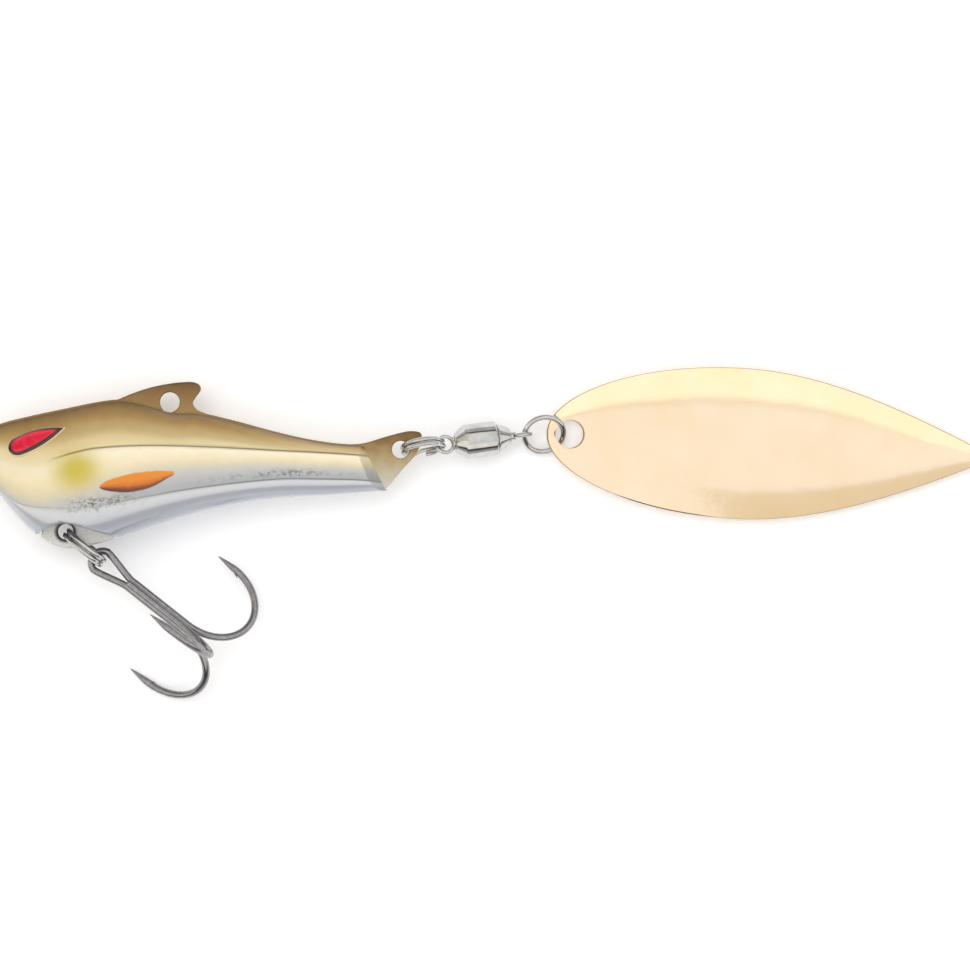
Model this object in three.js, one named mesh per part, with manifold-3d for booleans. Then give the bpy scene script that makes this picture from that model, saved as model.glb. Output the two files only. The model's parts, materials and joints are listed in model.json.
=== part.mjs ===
// Tail spinner fishing lure: a fish-shaped body cast round a stamped plate, a treble hook on a
// split ring under the belly, and a ball-bearing swivel that carries a willow-leaf blade.
// Millimetres. +X runs from the nose to the tail, +Y towards the back, and the lure lies on its
// side with its left flank up (+Z), as it does on a table.
import * as THREE from 'three';
import { mergeVertices } from 'three/addons/utils/BufferGeometryUtils.js';
import Module from 'manifold-3d';

const wasm = await Module();
wasm.setup();

// ---- Driving dimensions -------------------------------------------------------------------
// Body and plate. Outlines are x, y points with the line-tie hole at 0, 0.
const bodyLength = 40.6;
const bodyHalfWidth = 4.3;
const upperCreaseShare = 0.79;
const ridgeHalfWidth = 0.75;
const plateThick = 0.8;
const plateProud = 0.15;
const castFit = 0.05;
const lineTieRadius = 0.95;
const lugHole = { x: -10.0, y: -12.45, radius: 0.75 };
const tailHole = { x: 22.19, y: -4.56, radius: 0.84 };
const eyeLength = 5.3;
const eyeRadius = 0.95;
const eyeAt = { x: -12.42, y: -3.58 };
const eyeThick = 0.75;
const eyeProud = 0.3;

// Rings. A split ring is two turns of wire side by side; the blade ring is one welded turn.
const bellyRing = { outer: 5.0, wire: 0.5 };
const tailRing = { outer: 4.4, wire: 0.45 };
const bladeRing = { outer: 4.4, wire: 0.55 };
const turnGap = 0.03;
const ringSeat = 0.12;
const ringStepAngle = 260;

// Treble hook, measured along its shank from the middle of its eye.
const hookWire = 0.72;
const hookEyeOuter = 1.48;
const hookShankStart = 2.6;
const hookBendStart = { double: 10.1, single: 9.2 };
const hookBendDepth = 4.6;
const hookGape = 7.6;
const hookTaper = 2.0;
const hookStrandGap = 0.03;
const hookTip = 0.02;
const hookLap = 0.15;
const barbLength = 1.25;
const barbRadius = 0.16;
const barbLift = 24;

// Swivel, measured along its axis from the wire of the tail ring.
const swivelRadius = 1.7;
const swivelWall = 0.36;
const swivelNose = 1.12;
const swivelShoulder = 2.13;
const swivelJoint = 5.23;
const swivelEnd = 6.62;
const swivelNoseRadius = 0.85;
const swivelEndRadius = 0.82;
const swivelPull = 8.06;
const swivelFit = 0.05;
const frontEye = { opening: 0.6, wire: 0.4, stem: 0.48, head: 0.8 };
const rearEye = { opening: 0.55, wire: 0.48, stem: 0.42, head: 0.68 };
const ballCount = 8;
const ballRadius = 0.25;
const ballCircle = 0.86;
const ballGap = 0.03;

// Blade, measured along its length.
const bladeLength = 43.4;
const bladeWidth = 14.6;
const bladeThick = 0.45;
const bladeHoleRadius = 1.35;
const bladeMargin = 0.85;
const bladeRingSlack = 0.5;
const bladeLongRadius = 196;
const bladeRimSlope = 0.33;

// How the pieces lie at rest, in degrees.
const bellyRingYaw = -40;
const trebleYaw = -38.2;
const trebleLift = 1.6;
const trebleRoll = 4;
const tailRingYaw = 6.7;
const tailRingLean = 15;
const swivelYaw = 7.2;
const bladeRingYaw = 1;
const bladeRingLean = 31;
const bladeYaw = -3.2;

const degrees = Math.PI / 180;

// ---- Finishes -----------------------------------------------------------------------------
function finish(color, roughness, metalness) {
  return new THREE.MeshStandardMaterial({ color, roughness, metalness });
}
const paintedLead = finish('#c3b48f', 0.3, 0.4);
const paintedPlate = finish('#8a6a3c', 0.4, 0.5);
const eyeRed = finish('#d8123a', 0.2, 0.1);
const nickel = finish('#cfcfd2', 0.2, 1);
const blackNickel = finish('#4b4a4e', 0.3, 1);
const ballSteel = finish('#e0e0e2', 0.1, 1);
const goldPlate = finish('#f3d9a4', 0.15, 1);

// ---- Solids and tubes -----------------------------------------------------------------------
function toSolid(geometry) {
  const bare = new THREE.BufferGeometry();
  bare.setAttribute('position', geometry.getAttribute('position'));
  bare.setIndex(geometry.getIndex());
  const merged = mergeVertices(bare, 1e-5);
  return new wasm.Manifold(new wasm.Mesh({
    numProp: 3,
    vertProperties: new Float32Array(merged.getAttribute('position').array),
    triVerts: new Uint32Array(merged.getIndex().array),
  }));
}

function toGeometry(solid) {
  const mesh = solid.getMesh();
  const geometry = new THREE.BufferGeometry();
  geometry.setAttribute('position', new THREE.BufferAttribute(mesh.vertProperties, mesh.numProp));
  geometry.setIndex(new THREE.BufferAttribute(mesh.triVerts, 1));
  geometry.computeVertexNormals();
  return geometry;
}

const join = (geometries) => toGeometry(geometries.map(toSolid).reduce((sum, solid) => sum.add(solid)));

function cut(geometry, cutters) {
  return toGeometry(cutters.map(toSolid).reduce((rest, cutter) => rest.subtract(cutter), toSolid(geometry)));
}

function addPiece(parent, name, geometry, material) {
  const piece = new THREE.Mesh(geometry, material);
  piece.name = name;
  parent.add(piece);
  return piece;
}

// A round wire along a curve, with twice halfSides faces round it.
function wireAlong(curve, radius, steps, halfSides = 4) {
  const section = new THREE.Shape().absarc(0, 0, radius, 0, 2 * Math.PI);
  return new THREE.ExtrudeGeometry(section, {
    steps,
    curveSegments: halfSides,
    extrudePath: curve,
    bevelEnabled: false,
  });
}

// A cylinder or cone along +X from one end to the other.
function rod(from, to, radiusFrom, radiusTo = radiusFrom, sides = 20) {
  const geometry = new THREE.CylinderGeometry(radiusTo, radiusFrom, to - from, sides);
  return geometry.rotateZ(-Math.PI / 2).translate((from + to) / 2, 0, 0);
}

// A turned piece about +X; each point of its section is distance along the axis, then radius.
function turned(section, sides = 24) {
  const profile = section.map(([along, radius]) => new THREE.Vector2(radius, along));
  return new THREE.LatheGeometry([...profile, profile[0]], sides).rotateZ(-Math.PI / 2);
}

// A flat piece in the XY plane, centred on z = 0.
function flat(shape, thick, curveSegments = 6) {
  const geometry = new THREE.ExtrudeGeometry(shape, { depth: thick, curveSegments, bevelEnabled: false });
  return geometry.translate(0, 0, -thick / 2);
}

// A smooth curve y(x) through points that are in order of x.
function smooth(points) {
  const slope = points.map((point, i) => {
    const before = points[Math.max(i - 1, 0)];
    const after = points[Math.min(i + 1, points.length - 1)];
    return (after[1] - before[1]) / (after[0] - before[0]);
  });
  return (x) => {
    let i = points.findIndex((point) => point[0] > x) - 1;
    if (i === -2) i = points.length - 2;
    if (i === -1) i = 0;
    const span = points[i + 1][0] - points[i][0];
    const t = THREE.MathUtils.clamp((x - points[i][0]) / span, 0, 1);
    const rise = points[i][1] * (1 - 3 * t * t + 2 * t ** 3) + points[i + 1][1] * (3 * t * t - 2 * t ** 3);
    return rise + span * (slope[i] * (t - 2 * t * t + t ** 3) + slope[i + 1] * (t ** 3 - t * t));
  };
}

// An outline moved outwards by a distance; its points run anticlockwise.
function grown(points, distance) {
  return points.map((point, i) => {
    const before = points[(i + points.length - 1) % points.length];
    const after = points[(i + 1) % points.length];
    const along = new THREE.Vector2().subVectors(after, before).normalize();
    return new THREE.Vector2(point.x + along.y * distance, point.y - along.x * distance);
  });
}

// ---- Body casting -----------------------------------------------------------------------------
// Long lines of the casting: the ridge of its back, a crease below it, the crease where the body
// is widest, and the belly.
const noseX = 21 - bodyLength;
const ridgeLine = smooth([
  [noseX, -4.4], [-18.9, -3.4], [-16.4, -2.25], [-13.2, -1.42], [-10, -0.74], [-6.2, 0.0], [-4.2, 0.08],
  [-1.2, -0.62], [0.6, -1.04], [2.6, -1.1], [6.0, -1.85], [10.2, -2.98], [13.2, -3.66], [16.3, -4.12], [21, -4.3],
]);
const upperCrease = smooth([
  [noseX, -4.5], [-16.5, -5.2], [-13.5, -5.75], [-11.5, -5.58], [-9.1, -4.9], [-6.8, -4.42], [-2.0, -4.17],
  [4.4, -4.33], [10.2, -4.63], [16.3, -4.95], [21, -5.3],
]);
const lowerCrease = smooth([
  [noseX, -4.65], [-18, -6.0], [-16.4, -8.0], [-14.3, -9.6], [-12.2, -10.05], [-7.4, -10.0], [-3.6, -9.36],
  [2.8, -8.24], [10.2, -7.42], [14.8, -7.39], [18.6, -7.5], [21, -7.8],
]);
const bellyLine = smooth([
  [noseX, -4.8], [-18.3, -6.2], [-16.4, -8.75], [-14.0, -11.6], [-12.2, -13.1], [-10.0, -14.05], [-7.0, -13.6],
  [-3.6, -12.55], [-0.4, -11.5], [2.8, -10.55], [6.5, -9.75], [10.2, -9.2], [15, -8.92], [21, -8.5],
]);
const widthShare = smooth([
  [noseX, 0.1], [-18.6, 0.36], [-16.4, 0.67], [-13.5, 0.91], [-10, 0.99], [-6.5, 1.0], [-2, 0.96], [3, 0.84],
  [8, 0.7], [13, 0.56], [18, 0.43], [21, 0.36],
]);
const bellySteps = 5;

// The left half of the casting's section at x, from the ridge down to the belly, as y, z points.
function halfSection(x) {
  const wide = bodyHalfWidth * widthShare(x);
  const creaseWide = wide * upperCreaseShare;
  const ridgeWide = Math.min(ridgeHalfWidth, wide * 0.6);
  const ridge = ridgeLine(x);
  const upper = upperCrease(x);
  const lower = lowerCrease(x);
  const belly = bellyLine(x);
  const points = [
    [ridge, 0],
    [ridge - 0.1 * ridgeWide, ridgeWide],
    [(ridge + upper) / 2, 0.1 * creaseWide + (ridgeWide + creaseWide) / 2],
    [upper, creaseWide],
    [(upper + lower) / 2, 0.02 * wide + (creaseWide + wide) / 2],
  ];
  for (let i = 0; i <= bellySteps; i++) {
    const angle = (i / bellySteps) * 90 * degrees;
    points.push([lower + (belly - lower) * Math.sin(angle), wide * Math.cos(angle) ** 0.75]);
  }
  return points;
}

// Height of the left flank above the middle plane at x, y.
function flank(x, y) {
  const points = halfSection(x);
  const i = Math.max(1, points.findIndex((point) => point[0] <= y));
  const share = (points[i - 1][0] - y) / (points[i - 1][0] - points[i][0]);
  return points[i - 1][1] + share * (points[i][1] - points[i - 1][1]);
}

function castingBlank() {
  const stations = [noseX, -19.3, -18.7, -17.7, -16.5, -15.2, -14, -12.8, -11.4, -10, -8.4, -6.8, -5.2, -3.6, -2,
    -0.4, 1.2, 2.8, 5, 7.5, 10, 12.5, 15, 17.5, 19, 21].filter((x) => x >= noseX);
  const positions = [];
  const index = [];
  let around = 0;
  for (const x of stations) {
    const left = halfSection(x);
    const right = left.slice(1, -1).reverse().map(([y, z]) => [y, -z]);
    const loop = [...left, ...right];
    around = loop.length;
    for (const [y, z] of loop) positions.push(x, y, z);
  }
  for (let i = 0; i < stations.length - 1; i++) {
    for (let j = 0; j < around; j++) {
      const a = i * around + j;
      const b = i * around + (j + 1) % around;
      index.push(a, b, a + around, b, b + around, a + around);
    }
  }
  const last = (stations.length - 1) * around;
  for (let j = 1; j < around - 1; j++) {
    index.push(0, j + 1, j);
    index.push(last, last + j, last + j + 1);
  }
  const geometry = new THREE.BufferGeometry();
  geometry.setAttribute('position', new THREE.Float32BufferAttribute(positions, 3));
  geometry.setIndex(index);
  return geometry;
}

// ---- Stamped plate ------------------------------------------------------------------------------
// Round windows in the part of the plate that the lead covers, which key the casting to it.
const keyWindows = [
  { x: -8.9, y: -7.4, radius: 1.6 },
  { x: -1.6, y: -2.7, radius: 1.0 },
  { x: 5.4, y: -3.5, radius: 0.95 },
  { x: 12.6, y: -5.0, radius: 0.7 },
];

function plateOutline() {
  const top = (x) => ridgeLine(x) + plateProud;
  const outline = new THREE.Shape();
  const along = (from, to, line) => {
    const steps = Math.max(2, Math.round(Math.abs(to - from) / 1.6));
    for (let i = 1; i <= steps; i++) {
      const x = from + ((to - from) * i) / steps;
      outline.lineTo(x, line(x));
    }
  };
  const through = (points) => outline.splineThru(points.map(([x, y]) => new THREE.Vector2(x, y)));
  // Tail: its top edge, blunt end and lower edge.
  outline.moveTo(17.2, top(17.2));
  outline.lineTo(16.0, top(16.0));
  along(16.0, 3.6, top);
  // Dorsal fin, from the foot of its rear edge over its tip and down its front slope.
  through([[2.6, -0.7], [2.22, -0.1], [2.55, 0.55], [2.98, 1.2]]);
  through([[2.84, 1.66], [2.3, 1.92]]);
  through([[1.1, 1.92], [-0.4, 1.73], [-2.0, 1.38], [-3.6, 0.85], [-5.0, top(-5.0)]]);
  along(-5.0, -17.4, top);
  // Inside the head, then down the strut to the belly lug.
  outline.lineTo(-17.2, -3.6);
  outline.lineTo(-13.6, -4.8);
  outline.lineTo(-12.2, -8);
  outline.lineTo(-11.9, -11);
  along(-12.4, -5.2, (x) => bellyLine(x));
  outline.lineTo(-5.6, -11);
  outline.lineTo(-5.4, -7.5);
  outline.lineTo(-3.6, -4.9);
  // Along the body under the keying windows to the tail.
  outline.lineTo(6, -5.6);
  outline.lineTo(15, -6.2);
  outline.lineTo(18.8, -7.6);
  outline.lineTo(20.4, -8.46);
  through([[20.9, -8.16], [22.42, -6.4], [23.65, -5.02], [24.22, -3.5]]);
  through([[24.1, -2.95], [23.2, -2.77]]);
  through([[22.4, -2.88], [20.9, -3.27], [18.6, -3.94], [17.2, top(17.2)]]);
  const points = outline.getPoints(3);
  return THREE.ShapeUtils.isClockWise(points) ? points.reverse() : points;
}

function withHoles(points, holes, radiusChange = 0) {
  const shape = new THREE.Shape(points);
  for (const hole of holes) {
    shape.holes.push(new THREE.Path().absarc(hole.x, hole.y, hole.radius + radiusChange, 0, 2 * Math.PI, true));
  }
  return shape;
}

function harnessPlate() {
  const lineTie = { x: 0, y: 0, radius: lineTieRadius };
  return flat(withHoles(plateOutline(), [lineTie, lugHole, tailHole, ...keyWindows]), plateThick, 8);
}

function plateSlot() {
  const points = grown(plateOutline(), castFit);
  return flat(withHoles(points, keyWindows, -castFit), plateThick + 2 * castFit, 8);
}

// The lead is cut away round the belly lug, so that only the plate is left there.
function lugRelief() {
  const relief = new THREE.Shape();
  relief.moveTo(-12.6, -12.5);
  relief.lineTo(-10.2, lugHole.y + lugHole.radius + 0.12);
  relief.lineTo(-9.0, -11.75);
  relief.lineTo(-4.9, -13.0);
  relief.lineTo(-4.9, -15);
  relief.lineTo(-12.6, -15);
  return flat(relief, 3 * bodyHalfWidth);
}

// The casting ends at the tail in a slanted face, chamfered down to the plate on each side.
function tailCuts() {
  const end = new THREE.Shape();
  end.moveTo(19.0, -3);
  end.lineTo(19.0, -4.8);
  end.lineTo(20.9, -8.6);
  end.lineTo(24, -10);
  end.lineTo(24, -3);
  const chamfers = [1, -1].map((side) => {
    const block = new THREE.BoxGeometry(4, 12, 4);
    block.translate(2, 0, 2);
    block.rotateY(-38 * degrees);
    if (side < 0) block.scale(1, 1, -1);
    block.rotateZ(27 * degrees);
    block.translate(19.35, -6.2, side * (plateThick / 2 + 0.35));
    if (side < 0) flipFaces(block);
    return block;
  });
  return [flat(end, 3 * bodyHalfWidth), ...chamfers];
}

function flipFaces(geometry) {
  const index = geometry.getIndex().array;
  for (let i = 0; i < index.length; i += 3) {
    const kept = index[i];
    index[i] = index[i + 1];
    index[i + 1] = kept;
  }
}

// The same geometry on the lure's right side.
function onRight(geometry) {
  const copy = new THREE.BufferGeometry();
  copy.setAttribute('position', geometry.getAttribute('position').clone());
  const mirrored = mergeVertices(copy, 1e-5).scale(1, 1, -1);
  flipFaces(mirrored);
  return mirrored;
}

// ---- Eyes -----------------------------------------------------------------------------------------
// A teardrop with its round end at the origin and its point along +X.
function eyeShape(grow) {
  const radius = eyeRadius + grow;
  const tip = eyeLength - eyeRadius + 2 * grow;
  const shape = new THREE.Shape();
  shape.moveTo(tip, 0);
  shape.quadraticCurveTo(0.5 * tip, 1.35 * radius, 0, radius);
  shape.absarc(0, 0, radius, 90 * degrees, 270 * degrees);
  shape.quadraticCurveTo(0.5 * tip, -1.15 * radius, tip, 0);
  return shape;
}

// Frame of the left eye: on the flank, square to it, with the point of the teardrop up and back.
function eyeFrame() {
  const at = new THREE.Vector2(eyeAt.x, eyeAt.y);
  const step = 0.6;
  const height = flank(at.x, at.y);
  const slopeX = (flank(at.x + step, at.y) - flank(at.x - step, at.y)) / (2 * step);
  const slopeY = (flank(at.x, at.y + step) - flank(at.x, at.y - step)) / (2 * step);
  const out = new THREE.Vector3(-slopeX, -slopeY, 1).normalize();
  const long = new THREE.Vector3(Math.cos(22.5 * degrees), Math.sin(22.5 * degrees), 0);
  long.z = slopeX * long.x + slopeY * long.y;
  long.normalize();
  const across = new THREE.Vector3().crossVectors(out, long);
  const frame = new THREE.Matrix4().makeBasis(long, across, out);
  return frame.setPosition(at.x, at.y, height);
}

function eyeSolid(grow, below, above) {
  const geometry = new THREE.ExtrudeGeometry(eyeShape(grow), {
    depth: below + above,
    curveSegments: 5,
    bevelEnabled: false,
  });
  return geometry.translate(-0.38 * eyeLength, 0, -below);
}

function eyePiece() {
  const bevel = 0.14;
  const geometry = new THREE.ExtrudeGeometry(eyeShape(-bevel), {
    depth: eyeThick - 2 * bevel,
    curveSegments: 5,
    bevelThickness: bevel,
    bevelSize: bevel,
    bevelSegments: 2,
  });
  return geometry.translate(-0.38 * eyeLength, 0, eyeProud - eyeThick + bevel);
}

// ---- Rings ----------------------------------------------------------------------------------------
const ringRadius = (ring) => (ring.outer - ring.wire) / 2;
const turnPitch = (ring) => ring.wire + turnGap;

// Two turns of wire about +Y, with the step from one turn to the other at stepAngle.
function splitRing(ring, stepAngle) {
  const radius = ringRadius(ring);
  const halfStep = 26 * degrees;
  const points = [];
  const start = stepAngle + halfStep;
  const sweep = 4 * Math.PI - 2 * halfStep;
  const count = 44;
  for (let i = 0; i <= count; i++) {
    const angle = start + (sweep * i) / count;
    const past = (angle - stepAngle - 2 * Math.PI) / halfStep;
    const side = THREE.MathUtils.smoothstep(past, -1, 1) - 0.5;
    points.push(new THREE.Vector3(radius * Math.cos(angle), side * turnPitch(ring), radius * Math.sin(angle)));
  }
  return wireAlong(new THREE.CatmullRomCurve3(points), ring.wire / 2, 60);
}

// How far a split ring's wire can sit from the middle of a hole, clear of its edge.
function seatIn(holeRadius, ring, lean) {
  const halfPlate = plateThick / 2;
  const sideways = turnPitch(ring) / 2 + halfPlate * Math.tan(lean * degrees);
  const reach = holeRadius - ring.wire / 2 - ringSeat;
  const bow = ringRadius(ring) - Math.sqrt(ringRadius(ring) ** 2 - halfPlate ** 2) + 0.25 * halfPlate;
  return Math.sqrt(Math.max(0, reach ** 2 - sideways ** 2)) - bow;
}

// ---- Treble hook ----------------------------------------------------------------------------------
// Local axes: +X along the shank from the eye, Y and Z across it.
const strandOffset = (hookWire + hookStrandGap) / 2;
const rollAngle = trebleRoll * degrees;

// One strand's way from the eye down the shank and round the bend, in the plane at angle.
function hookRoute(y, z, angle, bendStart) {
  const bend = hookGape / 2;
  const place = (along, out) => new THREE.Vector3(along, y + out * Math.cos(angle), z + out * Math.sin(angle));
  const route = [];
  for (let i = 0; i <= 4; i++) {
    route.push(place(THREE.MathUtils.lerp(hookShankStart + 0.5, bendStart, i / 4), 0));
  }
  for (let turn = 15; turn <= 180; turn += 15) {
    route.push(place(bendStart + hookBendDepth * Math.sin(turn * degrees), bend * (1 - Math.cos(turn * degrees))));
  }
  return route;
}

// The tapered point and the barb at the end of a strand's way.
function hookPoint(y, z, angle, bendStart) {
  const point = rod(-hookTaper, hookLap, hookTip, hookWire / 2, 8);
  const barb = rod(-0.4 * barbLength, 0.6 * barbLength, barbRadius, hookTip, 4);
  barb.rotateZ(-barbLift * degrees);
  barb.translate(0.1, -hookWire / 3, 0);
  return [point, barb].map((geometry) => {
    geometry.translate(bendStart, hookGape, 0);
    geometry.rotateX(angle);
    geometry.translate(0, y, z);
    return geometry;
  });
}

function trebleDoubleHook() {
  const upperAngle = -(30 * degrees - rollAngle);
  const lowerAngle = Math.PI + 30 * degrees + rollAngle;
  const upper = hookRoute(strandOffset, 0, upperAngle, hookBendStart.double);
  const lower = hookRoute(-strandOffset, 0, lowerAngle, hookBendStart.double);
  const eye = [];
  for (let turn = -75; turn <= 75; turn += 15) {
    const angle = Math.PI + turn * degrees;
    const radius = hookEyeOuter - hookWire / 2;
    eye.push(new THREE.Vector3(radius * Math.cos(angle), radius * Math.sin(angle), 0));
  }
  const route = [...upper.reverse(), ...eye, ...lower];
  const wire = wireAlong(new THREE.CatmullRomCurve3(route), hookWire / 2, 104);
  const upperPoint = hookPoint(strandOffset, 0, upperAngle, hookBendStart.double);
  const lowerPoint = hookPoint(-strandOffset, 0, lowerAngle, hookBendStart.double);
  return join([wire, ...upperPoint, ...lowerPoint]);
}

function trebleSingleHook() {
  const angle = Math.PI / 2 + rollAngle;
  const height = Math.sqrt((hookWire + 2 * hookStrandGap) ** 2 - strandOffset ** 2);
  const route = new THREE.CatmullRomCurve3(hookRoute(0, height, angle, hookBendStart.single));
  return join([wireAlong(route, hookWire / 2, 44), ...hookPoint(0, height, angle, hookBendStart.single)]);
}

// ---- Swivel ---------------------------------------------------------------------------------------
const bore = swivelRadius - swivelWall;
const frontFloor = swivelShoulder + 0.1;
const capFace = swivelJoint - 0.62;
const ballPlane = capFace - ballRadius - ballGap;
const collarFace = ballPlane - ballRadius - ballGap;
const collarBack = collarFace - 0.42;
const frontEyeSlack = 0.145;
const eyeCentreFront = frontEye.opening - tailRing.wire / 2 - frontEyeSlack;
const eyeCentreRear = swivelPull - (rearEye.opening - bladeRing.wire / 2 - swivelFit);

function swivelBarrel() {
  const hole = frontEye.stem + swivelFit;
  return turned([
    [swivelNose, hole], [frontFloor, hole], [frontFloor, bore], [swivelJoint, bore],
    [swivelJoint, swivelRadius - 0.14], [swivelJoint - 0.14, swivelRadius - 0.03],
    [(swivelShoulder + swivelJoint) / 2, swivelRadius], [swivelShoulder, swivelRadius - 0.03],
    [swivelNose, swivelNoseRadius],
  ].reverse());
}

function swivelRearCap() {
  const hole = rearEye.stem + swivelFit;
  const seam = swivelJoint + swivelFit;
  return turned([
    [capFace, hole], [swivelEnd, hole], [swivelEnd, swivelEndRadius], [seam + 0.1, swivelRadius - 0.28],
    [seam, swivelRadius - 0.34], [seam, bore - swivelFit], [capFace, bore - swivelFit],
  ].reverse());
}

// A wire eye on a round stem that ends in a riveted head.
function eyedStem(eye, centre, stemFrom, stemTo, headTo) {
  const loop = new THREE.TorusGeometry(eye.opening + eye.wire / 2, eye.wire / 2, 8, 20).translate(centre, 0, 0);
  const stem = rod(Math.min(stemFrom, stemTo), Math.max(stemFrom, stemTo), eye.stem);
  const head = rod(Math.min(stemTo, headTo), Math.max(stemTo, headTo), eye.head);
  return [loop, stem, head];
}

function swivelFrontEye() {
  const root = eyeCentreFront + frontEye.opening + 0.1;
  const headFrom = frontFloor + swivelFit;
  return join(eyedStem(frontEye, eyeCentreFront, root, headFrom, headFrom + 0.3));
}

function swivelRotor() {
  const root = eyeCentreRear - rearEye.opening - 0.1;
  const headFrom = collarBack - swivelFit;
  const [loop, stem, head] = eyedStem(rearEye, eyeCentreRear, root, headFrom, headFrom - 0.3);
  return join([loop.rotateX(Math.PI / 2), stem, head]);
}

function thrustCollar() {
  const hole = rearEye.stem + swivelFit;
  const rim = bore - 0.12;
  return turned([[collarBack, hole], [collarBack, rim], [collarFace, rim], [collarFace, hole]], 20);
}

// ---- Blade ------------------------------------------------------------------------------------------
// Willow leaf: blunt at the hole, pointed at the tip, and dished so that it lies on its middle.
const bladeHoleX = bladeMargin + bladeHoleRadius;
const bladeMiddle = bladeLength / 2 - bladeHoleX;

function bladeHalfWidth(share) {
  const phase = Math.sin(Math.PI * share ** 0.821);
  const bluntness = share < 0.43 ? 0.6 : 0.95;
  return (bladeWidth / 2) * Math.max(0, phase) ** bluntness;
}

// Height of the middle of the sheet, with the middle of the hole at 0, 0, 0. Its rim has the same
// slope all round, as a leaf-shaped die presses it.
function bladeHeight(x, y) {
  const along = ((x - bladeMiddle) ** 2 - bladeMiddle ** 2) / (2 * bladeLongRadius);
  const half = bladeHalfWidth(THREE.MathUtils.clamp((x + bladeHoleX) / bladeLength, 0, 1));
  return along + bladeRimSlope * y * y / (2 * Math.max(half, 0.01));
}

function bladeSheet() {
  const lengths = 26;
  const widths = 8;
  const rows = [];
  for (let i = 0; i <= lengths; i++) {
    const share = 0.5 - 0.5 * Math.cos((Math.PI * i) / lengths);
    const half = i === 0 || i === lengths ? 0 : bladeHalfWidth(share);
    rows.push({ x: share * bladeLength - bladeHoleX, half });
  }
  const positions = [];
  const grid = (side) => rows.map(({ x, half }) => {
    const row = [];
    for (let j = 0; j <= widths; j++) {
      const y = half * (2 * j / widths - 1);
      if (half === 0 && j > 0) {
        row.push(row[0]);
        continue;
      }
      row.push(positions.length / 3);
      positions.push(x, y, bladeHeight(x, y) + (side * bladeThick) / 2);
    }
    return row;
  });
  const top = grid(1);
  const bottom = grid(-1);
  const index = [];
  const quad = (a, b, c, d) => {
    if (a !== b && b !== c && a !== c) index.push(a, b, c);
    if (a !== c && c !== d && a !== d) index.push(a, c, d);
  };
  for (let i = 0; i < lengths; i++) {
    for (let j = 0; j < widths; j++) {
      quad(top[i][j], top[i + 1][j], top[i + 1][j + 1], top[i][j + 1]);
      quad(bottom[i][j], bottom[i][j + 1], bottom[i + 1][j + 1], bottom[i + 1][j]);
    }
    quad(top[i][0], bottom[i][0], bottom[i + 1][0], top[i + 1][0]);
    quad(top[i][widths], top[i + 1][widths], bottom[i + 1][widths], bottom[i][widths]);
  }
  const geometry = new THREE.BufferGeometry();
  geometry.setAttribute('position', new THREE.Float32BufferAttribute(positions, 3));
  geometry.setIndex(index);
  return geometry;
}

function blade() {
  const hole = new THREE.CylinderGeometry(bladeHoleRadius, bladeHoleRadius, 4, 28).rotateX(Math.PI / 2);
  return cut(bladeSheet(), [hole]);
}

// ---- Assembly ---------------------------------------------------------------------------------------
const lure = new THREE.Group();

// A frame that starts at a point and runs along +X at a yaw and a downward slope, rolled about itself.
function link(name, from, yaw, slope, roll = 0) {
  const frame = new THREE.Group();
  frame.name = name;
  frame.position.copy(from);
  frame.rotation.set(roll * degrees, slope * degrees, yaw * degrees, 'ZYX');
  frame.updateMatrix();
  lure.add(frame);
  return frame;
}

const pointOn = (frame, along) => new THREE.Vector3(along, 0, 0).applyMatrix4(frame.matrix);

// Body: plate, casting and eyes.
const leftEyeFrame = eyeFrame();
const socket = eyeSolid(castFit, eyeThick - eyeProud + castFit, 3).applyMatrix4(leftEyeFrame);
addPiece(lure, 'harness_plate', harnessPlate(), paintedPlate);
const casting = cut(castingBlank(), [plateSlot(), lugRelief(), ...tailCuts(), socket, onRight(socket)]);
addPiece(lure, 'body_casting', casting, paintedLead);
const leftEye = eyePiece().applyMatrix4(leftEyeFrame);
addPiece(lure, 'left_eye', leftEye, eyeRed);
addPiece(lure, 'right_eye', onRight(leftEye), eyeRed);

// Belly split ring and treble hook.
const lugCentre = new THREE.Vector3(lugHole.x, lugHole.y, 0);
const bellyRingFrame = link('belly_ring_frame', lugCentre, bellyRingYaw, 0);
const bellySeat = seatIn(lugHole.radius, bellyRing, 0);
const bellyRingCoil = splitRing(bellyRing, ringStepAngle * degrees);
const bellyRingPiece = addPiece(bellyRingFrame, 'belly_split_ring', bellyRingCoil, nickel);
bellyRingPiece.position.x = bellySeat + ringRadius(bellyRing);
const trebleAt = pointOn(bellyRingFrame, bellySeat + 2 * ringRadius(bellyRing));
const trebleFrame = link('treble_frame', trebleAt, trebleYaw, -trebleLift);
addPiece(trebleFrame, 'treble_double_hook', trebleDoubleHook(), blackNickel);
addPiece(trebleFrame, 'treble_single_hook', trebleSingleHook(), blackNickel);

// The chain at the tail slopes down from the tail hole to the blade, which lies on the floor.
const tailSeat = seatIn(tailHole.radius, tailRing, tailRingLean);
const bladeSeat = bladeHoleRadius - bladeRing.wire / 2 - bladeRingSlack;
const chainLength = tailSeat + 2 * ringRadius(tailRing) + swivelPull + 2 * ringRadius(bladeRing);
const sheetUnderRing = bladeThick / 2 - bladeHeight(bladeMiddle, 0) + bladeHeight(-bladeSeat, 0);
const chainSlope = Math.asin((bodyHalfWidth - sheetUnderRing) / chainLength) / degrees;

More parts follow.
